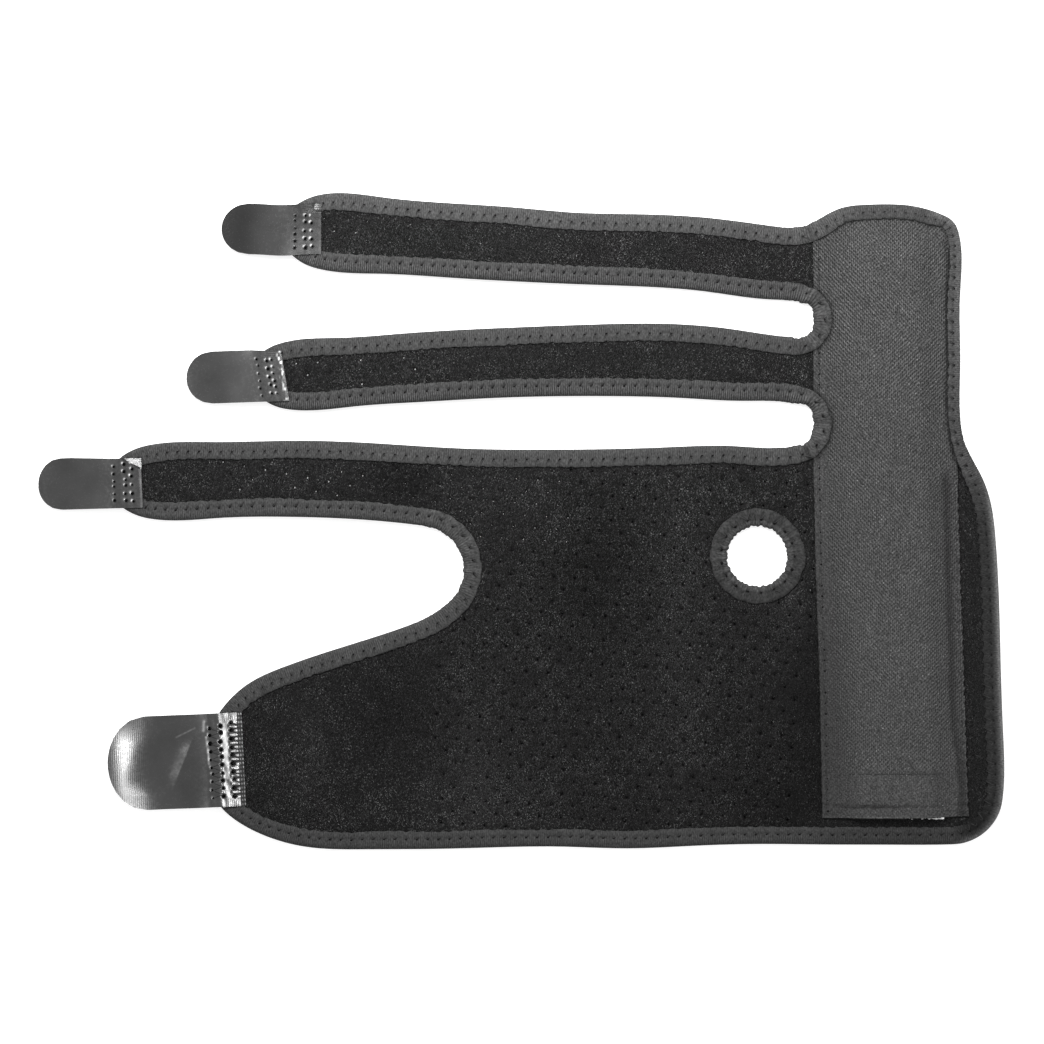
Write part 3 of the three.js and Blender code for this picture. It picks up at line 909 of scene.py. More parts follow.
def perforations():
    """Middles of the perforations: staggered grids that lean with the sheet."""
    found = []
    for field in HOLE_FIELDS:
        turn = math.radians(field["lean"])
        rows, columns = np.meshgrid(np.arange(-60, 61), np.arange(-50, 51))
        across = (columns + 0.5 * (rows % 2)).ravel() * HOLE_PITCH
        up = rows.ravel() * HOLE_ROWS
        x = field["x"] + across * math.cos(turn) - up * math.sin(turn)
        y = field["y"] + across * math.sin(turn) + up * math.cos(turn)
        keep = (x > field["from_x"]) & (x < field["to_x"]) & (y > field["from_y"]) & (y < field["to_y"])
        found.append(np.column_stack([x, y])[keep])
    return np.concatenate(found)


def perforation_radius(at):
    """Radius of each perforation, and whether it goes right through: on the straps and at their roots."""
    x, y = at.T
    upper = y > 36
    strap = (x < np.where(upper, -32, -52)) & (y > -3)
    root = (x < 18) & (y > -8) & ~strap
    draw = np.random.default_rng(8)
    choked = strap & (draw.random(len(at)) > np.where(upper, 0.3, 0.8))
    strap, root = strap & ~choked, root | choked
    radius = np.where(root, PERFORATION["root"], PERFORATION["blind"])
    radius = np.where(strap, PERFORATION["strap"], radius)
    return radius * draw.uniform(0.8, 1.15, len(at)), strap | root


def creased(x, y):
    """How far the creases sink the panel's face."""
    total = 0.0
    for crease in CREASES:
        away = off_line(x, y, crease["start"], crease["end"])
        total = total + crease["depth"] * hump(away, crease["reach"])
    return total


def nap_patches(x, y):
    """How much paler or darker the nap is in patches."""
    return 1 + sum(patch["paler"] * spot(x, y, patch) for patch in NAP_PATCHES)


def worn_with_light_and_shade(x, y):
    """How far the nap is worn flat: beside the sleeve's lower left, and beyond its right side and mouth; the
    same places take painted shade beside the sleeve and painted light beyond it.
    """
    beside = hump(np.minimum(x - 113, 0), 13) * fade(-80, 5, y) * fade(112, 116, x)
    beyond = smooth(150, 160, x) + fade(-114, -108, y) * smooth(95, 112, x)
    return beside, beyond


def panel_shade(x, y):
    """Tone of the nap: painted shade beside the sleeve, painted light beyond its right side and mouth, and
    paler and darker patches.
    """
    beside, beyond = worn_with_light_and_shade(x, y)
    return (1 - 0.25 * np.clip(beside - beyond, -1, 1)) * nap_patches(x, y)


rim_tree = tree_of(rim.at)


def room(points):
    """How far each point lies inside the tapes' inner edges: negative under a tape or outside the foam."""
    result = np.empty(len(points))
    for number, (x, y) in enumerate(points):
        _, nearest, _ = rim_tree.find((x, y, 0))
        inset = float(np.dot(np.array((x, y)) - rim.at[nearest], rim.inward[nearest]))
        result[number] = inset - rim_flange[nearest]
    ring = np.linalg.norm(points - hole_middle, axis=1) - HOLE_RADIUS - TAPE_FLANGE
    return np.minimum(result, ring)


def fill(loops, loose):
    """Triangles inside the first loop, with the loop that each vertex came from, or -1."""
    points, links, owner = [], [], []
    for number, loop in enumerate(loops):
        first = len(points)
        points.extend(map(tuple, loop))
        links.extend((first + k, first + (k + 1) % len(loop)) for k in range(len(loop)))
        owner.extend([number] * len(loop))
    points.extend(map(tuple, loose))
    owner.extend([-1] * len(loose))
    places, _, faces, source, _, _ = delaunay_2d_cdt([Vector(p) for p in points], links, [], 1, 1e-6)
    owner = np.array([owner[origin[0]] if origin else -1 for origin in source])
    return np.array([tuple(p) for p in places]), np.array(faces), owner


def walls(faces, owner, pit, open_hole, count):
    """Quads down from the free edges of the top face: round the rim, the thumb hole and each perforation."""
    sides = set()
    for corners in faces.tolist():
        for start, end in zip(corners, corners[1:] + corners[:1]):
            if (end, start) in sides:
                sides.remove((end, start))
            else:
                sides.add((start, end))
    quads = []
    for start, end in sorted(sides):
        loop = owner[start]
        if loop >= 2 and not open_hole[loop]:
            quads.append([start, int(pit[start]), int(pit[end]), end])
        else:
            quads.append([start, start + count, end + count, end])
    return quads


def make_panel():
    """The foam: both faces, blind perforations from the skin side, and open ones on the straps."""
    along = np.arange(0, rim.length, EDGE_STEP)
    outer = rim.place(along, np.full(len(along), UNDER_TAPE))
    inner = thumb.place(np.arange(RING_STEPS) * thumb.length / RING_STEPS, np.full(RING_STEPS, UNDER_TAPE))
    holes = perforations()
    holes = holes[(room(holes) > HOLE_ROOM) & (sum(worn_with_light_and_shade(*holes.T)) < HOLE_RUBBED)]
    turn = np.arange(8) * TAU / 8
    eight = np.column_stack([np.cos(turn), np.sin(turn)])
    radius, goes_through = perforation_radius(holes)
    rows, columns = np.meshgrid(np.arange(-70, 71), np.arange(-90, 91))
    grid_x = (columns + 0.5 * (rows % 2)) * GRID_STEP
    grid = np.column_stack([grid_x.ravel(), (rows * GRID_STEP * 0.87).ravel()])
    grid = grid[room(grid) > -3.4]
    hole_tree = tree_of(holes)
    clear = np.array([hole_tree.find((x, y, 0))[2] > HOLE_CLEAR for x, y in grid])
    loops = [outer, inner[::-1]] + [hole + size * eight for hole, size in zip(holes, radius)]
    flat, faces, owner = fill(loops, grid[clear])
    corner_owner = owner[faces]
    inside = np.where((corner_owner == corner_owner[:, :1]).all(1), corner_owner[:, 0], -1)
    faces, inside = faces[inside != 1], inside[inside != 1]
    open_hole = np.zeros(len(loops), bool)
    open_hole[2:] = goes_through

    clearance = room(flat)
    swell = smooth(-0.5, 2.6, clearance)
    x, y = flat.T
    uneven = (0.05 * ripple(x, y, 16, 3) - creased(x, y)) * swell
    top = FOAM_UNDER_TAPE + (FOAM - FOAM_UNDER_TAPE) * swell + uneven
    low = EDGE_LIFT * fade(-0.3, 2.2, clearance)
    pierced = owner >= 2
    top[pierced] -= HOLE_SUNK

    count = len(flat)
    hollow = inside >= 2
    through = hollow & open_hole[np.maximum(inside, 0)]
    pit = np.full(count, -1)
    pit_vertices = np.flatnonzero(pierced & ~open_hole[np.maximum(owner, 0)])
    pit[pit_vertices] = 2 * count + np.arange(len(pit_vertices))
    pit_floor = np.full(len(pit_vertices), PIT_FLOOR)
    points = np.concatenate([
        np.column_stack([flat, top]),
        np.column_stack([flat, low]),
        np.column_stack([flat[pit_vertices], pit_floor]),
    ])
    parts = [faces[~hollow], faces[~through][:, ::-1] + count, pit[faces[hollow & ~through]]]
    result = [face.tolist() for part in parts for face in part]
    result.extend(walls(faces[~hollow], owner, pit, open_hole, count))
    piece = make_piece("foam_panel", dented(points), result, "pile", "napped_foam", ["panel"])
    piece.data.materials.append(MATERIALS["backing"])
    material = np.zeros(len(result), np.int32)
    material[len(parts[0]):len(parts[0]) + len(parts[1])] = 1
    piece.data.polygons.foreach_set("material_index", material)
    place = points[:, 0], points[:, 1]
    # Painted shade beside the sleeve and painted light beyond it, with the nap's patches; fewer specks where
    # the nap is worn flat.
    keep_numbers(piece, "shade", panel_shade(*place))
    keep_numbers(piece, "specks", 1 - np.clip(sum(worn_with_light_and_shade(*place)), 0, 0.45))
    return flat, faces[~hollow], clearance, top, holes[~goes_through]


# Nap of the panel: number of hairs, their middle and palest tones, and the least and most of their sizes.
HAIRS = 49000
HAIR_TONE = 0.0085
HAIR_PALEST = 0.2
HAIR_TILT = (0.1, 0.8)
HAIR_LONG = (0.4, 0.95)
HAIR_THICK = (0.07, 0.12)
HAIR_SUNK = 0.05

# Part of the panel that the sleeve covers, whose right side leans.
COVERED = {"left": 111, "right": 160, "lean": 0.035, "low": -111.5}


def under_sleeve(at):
    """Whether a place on the panel is covered by the sleeve."""
    x, y = at.T
    right = COVERED["right"] - COVERED["lean"] * y
    return (x > COVERED["left"]) & (x < right) & (y > COVERED["low"])


def make_nap(flat, faces, clearance, top, pits):
    """Short bent hairs over the skin face, as slim closed spikes, clear of the perforations."""
    draw = np.random.default_rng(5)
    middles = flat[faces].mean(1)
    pit_tree = tree_of(pits)
    free = np.array([pit_tree.find((x, y, 0))[2] > 1.0 for x, y in middles])
    open_faces = faces[(clearance[faces] > 0.1).all(1) & ~under_sleeve(middles) & free]
    size = triangle_sizes(flat, open_faces)
    pick = draw.choice(len(open_faces), HAIRS, p=size / size.sum())
    second, third = draw.random((2, HAIRS))
    flip = second + third > 1
    second, third = np.where(flip, 1 - second, second), np.where(flip, 1 - third, third)
    weights = np.stack([1 - second - third, second, third], 1)
    corners = open_faces[pick]
    at = (flat[corners] * weights[..., None]).sum(1)
    z = (top[corners] * weights).sum(1)
    side = np.where(draw.random(HAIRS) < 0.6, 1.0, -1.0)
    turn = side * NAP_TURNS[0] + draw.normal(0, 0.45, HAIRS) + np.where(draw.random(HAIRS) < 0.5, 0, math.pi)
    tilt = draw.uniform(*HAIR_TILT, HAIRS)
    length = draw.uniform(*HAIR_LONG, HAIRS)
    lying = np.cos(tilt)
    tip = np.stack([np.cos(turn) * lying, np.sin(turn) * lying, np.sin(tilt)], 1) * length[:, None]
    root = np.column_stack([at, z - HAIR_SUNK])
    thick = draw.uniform(*HAIR_THICK, HAIRS)[:, None]
    spin = draw.uniform(0, TAU, HAIRS)
    thirds = [spin + k * TAU / 3 for k in range(3)]
    ring = [np.stack([np.cos(third_turn), np.sin(third_turn), 0 * spin], 1) for third_turn in thirds]
    points = np.stack([root + thick * corner for corner in ring] + [root + tip], 1).reshape(-1, 3)
    first = 4 * np.arange(HAIRS)[:, None]
    sides = [first + np.array(face) for face in ((0, 1, 3), (1, 2, 3), (2, 0, 3), (0, 2, 1))]
    piece = make_piece("nap", dented(points), np.concatenate(sides), "nap", "napped_foam", smooth_faces=False)
    shade = np.minimum(HAIR_TONE * np.exp(draw.normal(0, 1.05, HAIRS)), HAIR_PALEST)
    # Hairs are darker where the nap is worn flat, which beside the sleeve is painted shade.
    shade = shade * (1 - 0.45 * np.clip(sum(worn_with_light_and_shade(*at.T)), 0, 1)) * nap_patches(*at.T)
    keep_numbers(piece, "shade", np.repeat(shade, 4))


# Tapes

# Depth of the pleats where a tape turns.
PUCKER = 0.42

# Rows of a tape's mesh: angles round its fold, and shares of its width before and after the needle.
FOLD_ANGLES = np.linspace(-90, 78, 9)
BEFORE_NEEDLE = np.array([0.12, 0.45, 0.76])
AFTER_NEEDLE = np.array([0.18, 0.4, 0.62, 0.82, 0.94, 1.0])

# Marks of a tape's stitches: from the first up they show no dot, and from the second the tape is pressed.
NO_DOT = 5.2
PRESSED = 6

# Tight corners of the two webs, where the tape is drawn in further than the smooth edge.
WEB_CORNERS = [
    {"x": 108.4, "y": 81.2, "depth": 1.1},
    {"x": 107.5, "y": 70.1, "depth": 0.9},
    {"x": 108.0, "y": 42.6, "depth": 1.4},
    {"x": 107.5, "y": 29.7, "depth": 0.4},
]

# Places where the ends of each tape are joined.
RIM_JOINT = (107.6, 25.0)
RING_JOINT = math.radians(211)


def rim_shade(edge, at, inset):
    """Tone of the edge tape, mostly painted light and shade: on the right side painted shade on its inner
    half and painted light on its outer rim, painted shade towards the foot and the bottom right, painted
    light along the top and on the outer part up the right side, and a dark line at its joint.
    """
    x, y = at[..., 0], at[..., 1]
    side = smooth(160, 170, x) * fade(-5, 25, y)
    # Painted shade on the right side's inner half and painted light on its outer rim, then painted shade
    # towards the bottom right.
    pressed = side * (smooth(1.6, 3.4, inset) - 5.2 * fade(0.2, 1.9, inset))
    pressed = pressed + 0.4 * smooth(105, 130, x) * fade(172, 178, x) * fade(-110, -100, y)
    joint = np.linalg.norm(edge.at - np.array(RIM_JOINT), axis=1).argmin()
    beside = np.abs(edge.along - edge.along[joint])[:, None]
    # Painted light along the top and painted shade along the foot.
    top_light = 0.14 * smooth(90, 110, y) * fade(118, 126, x)
    foot_shade = 0.08 * fade(-112, -100, y)
    # Painted light on the outer part of the tape up the right side.
    outer = (0.2 + 0.8 * fade(0.5, 2.8, inset)) * smooth(150, 158, x) * smooth(20, 80, y)
    return (1 - 0.55 * pressed) * (1 - 0.45 * hump(beside, 0.5)) * (1 + top_light - foot_shade + outer)


def ring_shade(edge, at, inset):
    """Tone of the thumb hole's tape: darker than the rest, with painted light on its inner fold, painted
    shade at a crease by its needle row and towards its lower side, and the two dark lines of its joint.
    """
    turn = np.arctan2(at[..., 1] - hole_middle[1], at[..., 0] - hole_middle[0]) % TAU
    away = (turn - RING_JOINT) * (HOLE_RADIUS + inset)
    lines = 0.5 * hump(away - 0.9, 0.3) + 0.45 * hump(away + 0.7, 0.3)
    # Painted light on the inner fold, and painted shade at a crease by the needle row.
    folded = 1 + 0.45 * fade(1.7, 2.4, inset) - 0.1 * hump(inset - 2.8, 0.5)
    # Painted shade towards the ring's lower side.
    lower = 1 - 0.12 * smooth(0, 12, hole_middle[1] - at[..., 1])
    return 0.72 * folded * lower * (1 - lines)


def tape_rows():
    """What sets the two tapes apart: their edges, sizes, ribs, tones with their painted light and shade, and
    stitches.
    """
    x, y = rim.at.T
    side = smooth(168, 175, x) * fade(-5, 25, y)
    tick = 1 + 1.5 * fade(-95, -80, y) + 9 * side
    outset = np.full(rim.count, 0.18)
    for corner in WEB_CORNERS:
        beside = hump(np.hypot(x - corner["x"], y - corner["y"]), 3.6)
        outset = outset - beside * (corner["depth"] + 0.4 * ripple_along(rim.along, 2.1, 71))
    rim_row = {
        "name": "edge_tape", "node": "edge_binding", "edge": rim, "flange": rim_flange,
        "height": TAPE_HEIGHT + climb_at(rim.at), "needle_inset": NEEDLE_INSET, "shade": rim_shade,
        "ribs": (0.26 + 0.3 * smooth(0.2, 0.8, rim.inward[:, 1]) * smooth(20, 40, y)) * (1 - 0.8 * side),
        "tick": np.where((x > 114) & (y > 100), 5.5, tick), "outset": outset,
        "dot_radius": 0.33, "dot_lift": 0.16, "seed": 11,
    }
    ring_row = {
        "name": "thumb_hole_tape", "node": "thumb_hole_binding", "edge": thumb,
        "flange": np.full(thumb.count, TAPE_FLANGE), "height": np.full(thumb.count, TAPE_HEIGHT),
        "needle_inset": RING_NEEDLE_INSET, "shade": ring_shade, "ribs": np.full(thumb.count, 0.16),
        "tick": np.full(thumb.count, 5.0), "outset": 0.05 + 0.24 * ripple_along(thumb.along, 3.3, 72),
        "dot_radius": 0.5, "dot_lift": 0.34, "seed": 12,
    }
    return rim_row, ring_row


def folded_tape(tape, holes):
    """A knitted tape folded over an edge, pierced where it is sewn and gathered where it turns."""
    edge, seed, tick = tape["edge"], tape["seed"], tape["tick"]
    along = edge.along[:, None]
    ones = np.ones_like(along)
    stitch = along / edge.length * edge.stitches
    sewn = beat(stitch)
    wander = 0.22 * ripple_along(edge.along, 21, seed) + 0.1 * ripple_along(edge.along, 3, seed)
    bite = np.random.default_rng(seed).uniform(0.05, 0.5, edge.stitches)
    bite = bite[np.round(stitch).astype(int) % edge.stitches]
    pressed = (tick >= PRESSED)[:, None]
    wide = (tape["flange"] + wander)[:, None] - np.where(pressed, 0.6 * sewn, bite * sewn**2)
    high = tape["height"][:, None]
    step = inner_height(edge, tape["flange"])[:, None] - high
    bend = edge.bend[:, None]
    fold = high / 2
    needle = tape["needle_inset"] * wide / TAPE_FLANGE

    lower = np.concatenate([wide, (wide + fold) / 2], 1)
    angle = np.radians(FOLD_ANGLES)[None]
    round_inset = fold - fold * np.cos(angle)
    round_z = fold + fold * np.sin(angle)
    before = fold + (needle - fold) * BEFORE_NEEDLE[None]
    after = needle + (wide - needle) * AFTER_NEEDLE[None]
    upper = np.concatenate([before, needle, after], 1)
    top_share = (upper - fold) / (wide - fold)

    off_stitch = (stitch - np.round(stitch)) * STITCH_PITCH
    pierced = hump(off_stitch, 0.6) * hump(upper - needle, 0.5)
    channel = -(0.06 + 0.1 * sewn) * hump(upper - needle, 0.75)
    puff = np.where(pressed, 0.25, 0.1) * (1 - sewn) * hump(upper - wide * 0.8, 1.6)
    crown = 0.1 * np.sin(np.pi * top_share) - 0.22 * smooth(0.82, 1.0, top_share)
    gather = np.sin(along * TAU / 1.9 + 2.2 * ripple_along(along, 9, seed + 1))
    gather = 0.5 * gather + 0.8 * ripple_along(along, 3.4, seed + 2)
    inner_bend = np.clip(bend * 14, 0, 1)
    outer_bend = np.clip(-bend * 12, 0, 1)
    inner_pleats = PUCKER * inner_bend * gather * smooth(0.25, 0.9, top_share)
    outer_pleats = PUCKER * outer_bend * gather
    pleats = inner_pleats + outer_pleats * (1 - top_share)
    upper_z = high + step * top_share + crown + channel + puff - 0.3 * pierced + pleats

    inner_rows = [
        (wide + 0.14, upper_z[:, -1:] - 0.3), (wide, upper_z[:, -1:] - 0.62),
        (wide * 0.6, high + 0.5 * step - 0.95), (1.0 * ones, high - 1.0), (1.0 * ones, 1.0 * ones),
        (wide * 0.6, 0.7 * ones), (wide, 0.62 * ones), (wide + 0.14, 0.3 * ones),
    ]
    inset = [lower, round_inset - (tape["outset"][:, None] + 0.9 * outer_pleats) * np.cos(angle), upper]
    z = [0 * lower, round_z + outer_pleats * smooth(0, 90, np.degrees(angle)), upper_z]
    inset = np.concatenate(inset + [row[0] for row in inner_rows], 1)
    z = np.concatenate(z + [row[1] for row in inner_rows], 1)
    at = edge.at[:, None] + edge.inward[:, None] * inset[..., None]
    points = np.concatenate([at, z[..., None]], 2)
    faces = grid_faces(*inset.shape, True, True)[:, ::-1]
    laid = dented(points.reshape(-1, 3))
    piece = make_piece(tape["name"], laid, faces, "tape", "binding_tape", [tape["node"]])

    steps = np.linalg.norm(np.diff(np.stack([inset, z], 2), axis=1), axis=2)
    across = np.concatenate([0 * ones, np.cumsum(steps, 1)], 1)
    inward = np.where(inset > needle, tick[:, None], 1.0) * (inset - needle)
    keep_vectors(piece, "tape", np.stack([np.broadcast_to(stitch, across.shape), across, inward], 2))
    keep_numbers(piece, "ribs", tape["ribs"][:, None] * (1 - 0.6 * smooth(0.5, 1.2, inset / needle)))
    # Painted light and shade in stripes across the pleats where a tape turns.
    pleat_shade = 1 + 0.25 * (inner_bend + outer_bend) * gather
    keep_numbers(piece, "shade", tape["shade"](edge, at, inset) * pleat_shade)

    # Dark dots at the needle holes, partly thread and partly painted shade.
    needle_column = lower.shape[1] + angle.shape[1] + before.shape[1]
    draw = np.random.default_rng(seed)
    for spot_at, mark in zip(points[::edge.per_stitch, needle_column], tick[::edge.per_stitch]):
        if mark < NO_DOT:
            raised = spot_at + np.array((0, 0, tape["dot_lift"]))
            holes.bead(raised, tape["dot_radius"] * draw.uniform(0.7, 1.3), 0.1)


def tape_seam(bundle, tape, below):
    """The zigzag thread of a tape, from a row of needle holes to just past its inner edge."""
    edge, flange = tape["edge"], tape["flange"]
    turns = np.arange(2 * edge.stitches + 1)
    along = (turns - 0.3 * (turns % 2)) * edge.length / edge.stitches / 2
    wide = edge.take(flange, along)
    high = edge.take(tape["height"], along)
    inner = turns % 2 == 1
    high = high + (edge.take(inner_height(edge, flange), along) - high) * np.where(inner, 1.0, 0.5)
    inset = np.where(inner, wide + 0.4, tape["needle_inset"] * wide / TAPE_FLANGE)
    fine = (np.arange(len(turns) - 1)[:, None] + np.array([0.0, 0.14, 0.5, 0.86])).ravel()
    fine_along, fine_inset, fine_wide, fine_high = (
        np.interp(fine, turns, values) for values in (along, inset, wide, high)
    )
    fall = smooth(-0.5, 0.35, fine_inset - fine_wide)
    if below:
        z = 0.1 + 0.45 * fall
    else:
        knot = np.abs(fine - np.round(fine)) < 0.01
        z = fine_high + 0.03 - (fine_high - FOAM + 0.1) * fall - 0.45 * knot
    bundle.tube(np.column_stack([edge.place(fine_along, fine_inset), z]), THREAD)


def make_tapes():
    """Both tapes, the dots of their needle holes, and their threads above and below."""
    seam, holes = Bundle(), Bundle()
    rows = tape_rows()
    for tape in rows:
        folded_tape(tape, holes)
    points, faces = holes.all()
    make_piece("tape_needle_holes", dented(points), faces, "needle_hole", "binding_tape")
    for below in (False, True):
        for tape in rows:
            tape_seam(seam, tape, below)
    points, faces = seam.all()
    make_piece("tape_seams", dented(points), faces, "pale_thread", "binding_tape")


# Sleeve for the stay

# How far the sleeve's sides stray from straight lines: height, then left and right.
SIDE_STRAY = np.array([
    (-111.0, 0.8, -1.1), (-60.0, 0.3, -0.8), (-20.0, -0.7, -0.7), (20.0, -1.1, -0.4), (100.0, -0.3, 0.0),
])

# How far each side line has moved at the top, flat margins inside the sides, and the raised middle.
SLEEVE_LEAN = {"left": -2.36, "right": -8.47}
MARGIN = {"left": 7.0, "right": 5.0}
SLEEVE_SLOPE = 9.0
SLEEVE_RISE = 1.7
SLEEVE_CLOTH = 0.9
SLEEVE_BASE = 3.12
STAY_TOP = 103.0

# Seams: pitch, how far they lie inside the sides, the hem, the right side's free part, and their heights.
SEAM_PITCH = 3.8
SEAM_IN = {"left": 2.0, "right": 1.2}
HEM = 4.2
FREE_TOP = 16.0
SEAM_HEIGHTS = {"left": (-60.0, -20.0, 20.0, 110.0), "right": (-60.0, -20.0, 12.0)}

# A straight stitch: places along it, how high the thread lies there, and the dots at its needle holes.
STITCH_SHARES = np.array([0.06, 0.14, 0.3, 0.5, 0.7, 0.86, 0.94])
STITCH_LIFT = np.array([-0.3, -0.02, 0.08, 0.1, 0.08, -0.02, -0.3])
DOT_CHANCE = 0.85
DOT_RADIUS = (0.24, 0.44)

# Scallops that the stitches draw into the sleeve's sides, and parts of its cloth with a finer mesh.
SCALLOP = {"left": 0.18, "right": 0.4}
FINE_AT_MOUTH = 20
FINE_AT_TOP = 18

# Box of stitches over the hook strip in the mouth: its sides, its stitches, and the hem line's ends.
BOX = {"left": 122.6, "right": 156.0, "low": -106.7, "high": -94.4}
BOX_PITCH = 3.0
HEM_PITCH = 3.1
HEM_ENDS = {"left": 118.9, "right": 159.2}


def strayed(y, side):
    """How far a side of the sleeve strays at a height: side 1 is the left and 2 the right."""
    return np.interp(y, SIDE_STRAY[:, 0], SIDE_STRAY[:, side])


class Sleeve:
    """The cloth sleeve, from its CAD node: its mouth, its top, and where its sides start at the mouth."""

    def __init__(self):
        self.points = node_points("stay_pocket")
        self.mouth, self.top = self.points[:, 1].min(), self.points[:, 1].max()
        at_mouth = self.points[self.points[:, 1] < self.mouth + 0.5, 0]
        self.left, self.right = at_mouth.min(), at_mouth.max()

    def spans(self, y):
        """Left and right ends of the cloth at a height."""
        left = np.full_like(y, np.nan)
        right = np.full_like(y, np.nan)
        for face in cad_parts["stay_pocket"].data.polygons:
            corners = self.points[list(face.vertices)]
            for start, end in zip(corners, np.roll(corners, -1, 0)):
                if start[1] == end[1]:
                    continue
                share = (y - start[1]) / (end[1] - start[1])
                x = np.where((share >= 0) & (share <= 1), start[0] + share * (end[0] - start[0]), np.nan)
                left = np.fmin(left, x)
                right = np.fmax(right, x)
        return left + strayed(y, 1), right + strayed(y, 2)

    def lines(self, y):
        """x of the left and right sides of the sleeve."""
        share = (y - self.mouth) / (self.top - self.mouth)
        left = self.left + SLEEVE_LEAN["left"] * share + strayed(y, 1)
        right = self.right + SLEEVE_LEAN["right"] * share + strayed(y, 2)
        return left, right

    def rise(self, x, y):
        """How far the middle of the sleeve is raised by the stay's channel."""
        left, right = self.lines(y)
        up = smooth(MARGIN["left"], MARGIN["left"] + SLEEVE_SLOPE, x - left)
        down = smooth(MARGIN["right"], MARGIN["right"] + SLEEVE_SLOPE, right - x)
        return SLEEVE_RISE * up * down * fade(STAY_TOP - 5, STAY_TOP + 4, y)

    def groove(self, inset, y, reach):
        """The groove inside the rolled right side, which runs out to the mouth and ends under the tape."""
        groove_in = 2.0 + 2.2 * smooth(-98, -72, y)
        return hump(inset - groove_in, reach) * fade(14, 24, y)

    def height(self, x, y):
        """Height of the sleeve's upper face, with its seams pulled down, its hem and its rolled side."""
        left, right = self.lines(y)
        z = SLEEVE_BASE + SLEEVE_CLOTH + self.rise(x, y)
        sewn = beat(y / SEAM_PITCH)
        for line in (x - left - SEAM_IN["left"], right - x - SEAM_IN["right"]):
            z = z - (0.16 + 0.16 * sewn) * hump(line, 0.7)
        hem = y - self.mouth
        z = z - (0.14 + 0.14 * beat(x / HEM_PITCH)) * hump(hem - HEM, 0.7)
        z = z + 0.12 * hump(hem - HEM * 0.45, 1.6)
        z = z - 0.55 * self.groove(right - x, y, 1.2)
        z = z + 0.3 * (1 - sewn) * hump(right - x - 1.3, 1.0) * fade(14, 24, y)
        return z + 0.1 * ripple(x, y, 24, 21) * smooth(0, 6, np.minimum(x - left, right - x))

    def shade(self, x, y):
        """Tone of the cloth, mostly painted shade: in its puckered hem, along its box of stitches, in and
        beside the groove of its rolled side, along the tapes' inner edges and over its left margin, with
        painted light on the mouth's lip.
        """
        hem = y - self.mouth
        # Painted shade in the puckered hem and along the box of stitches.
        within = smooth(HEM_ENDS["left"] - 3, HEM_ENDS["left"] + 3, x) * fade(144, 152, x)
        pucker = np.clip(0.6 + 0.6 * ripple_along(x, 5, 31), 0.2, 1.2)
        wavy = hem - HEM - 0.5 * ripple_along(x, 7, 32)
        dark = 0.8 * pucker * hump(wavy, 0.7) * within * (1.4 - 0.4 * smooth(126, 136, x))
        in_box = smooth(BOX["left"] - 2, BOX["left"], x) * fade(BOX["right"], BOX["right"] + 2, x)
        beside_box = smooth(BOX["low"] - 1, BOX["low"], y) * fade(BOX["high"], BOX["high"] + 1, y)
        broken = 0.7 + 0.5 * ripple(x, y, 4, 33)
        dark = dark + 0.24 * hump(y - BOX["high"], 0.6) * in_box * broken
        for side in ("left", "right"):
            dark = dark + 0.16 * hump(x - BOX[side], 0.6) * beside_box * broken
        # Painted light on the mouth's lip.
        lip = 1 + 0.4 * hump(hem, 0.6)
        # Painted shade along the tapes' inner edges, broken like their stitches.
        beside_tape = room(np.column_stack([x, y]))
        tape_edge_shade = (0.5 + 0.35 * ripple(x, y, 1.7, 34)) * hump(beside_tape - 0.2, 0.8)
        tape_edge_shade = tape_edge_shade + 0.1 * hump(beside_tape, 2.5)
        tape_edge_shade = tape_edge_shade + 0.25 * hump(beside_tape - 0.3, 1.0) * smooth(145, 152, x)
        tape_edge_shade = np.clip(tape_edge_shade * (1 - 0.6 * smooth(98, 106, y)), 0, 0.8) * smooth(12, 22, y)
        left, right = self.lines(y)
        # Painted shade in and beside the groove of the rolled right side and over the left margin, deeper
        # towards the lower left; the cloth is also a little darker about y = 15 mm.
        rolled = 0.46 * self.groove(right - x, y, 1.7) + 0.1 * self.groove(right - x, y, 5.0)
        margin = (0.14 + 0.26 * fade(-60, 10, y)) * fade(4, 19, x - left)
        soft = (1 - rolled) * (1 - margin) * (1 - 0.08 * hump(y - 15, 40))
        return soft * (1 - np.clip(dark, 0, 0.75)) * (1 - tape_edge_shade) * lip

    def weave(self, x, y):
        """How clearly the weave shows: less along the lower left side, and in the box of stitches."""
        left, _ = self.lines(y)
        margin = fade(3.5, 7.5, x - left) * fade(40, 80, y)
        return (1 - 0.65 * margin) * (1 - 0.45 * fade(BOX["high"] - 2, BOX["high"] + 3, y))


def sleeve_end(base, first, columns, around):
    """Faces that close one end of the sleeve's cloth over a row of lip vertices."""
    upper = [base + k for k in range(columns)]
    lower = [base + 2 * columns - k for k in range(columns)]
    lip = [first + k for k in range(columns)]
    right_lip, left_lip = base + columns, base + around - 1
    patch = []
    for k in range(columns - 1):
        patch.append([upper[k], upper[k + 1], lip[k + 1], lip[k]])
        patch.append([lip[k], lip[k + 1], lower[k + 1], lower[k]])
    patch.append([upper[-1], right_lip, lip[-1]])
    patch.append([right_lip, lower[-1], lip[-1]])
    patch.append([left_lip, upper[0], lip[0]])
    patch.append([lower[0], left_lip, lip[0]])
    return patch


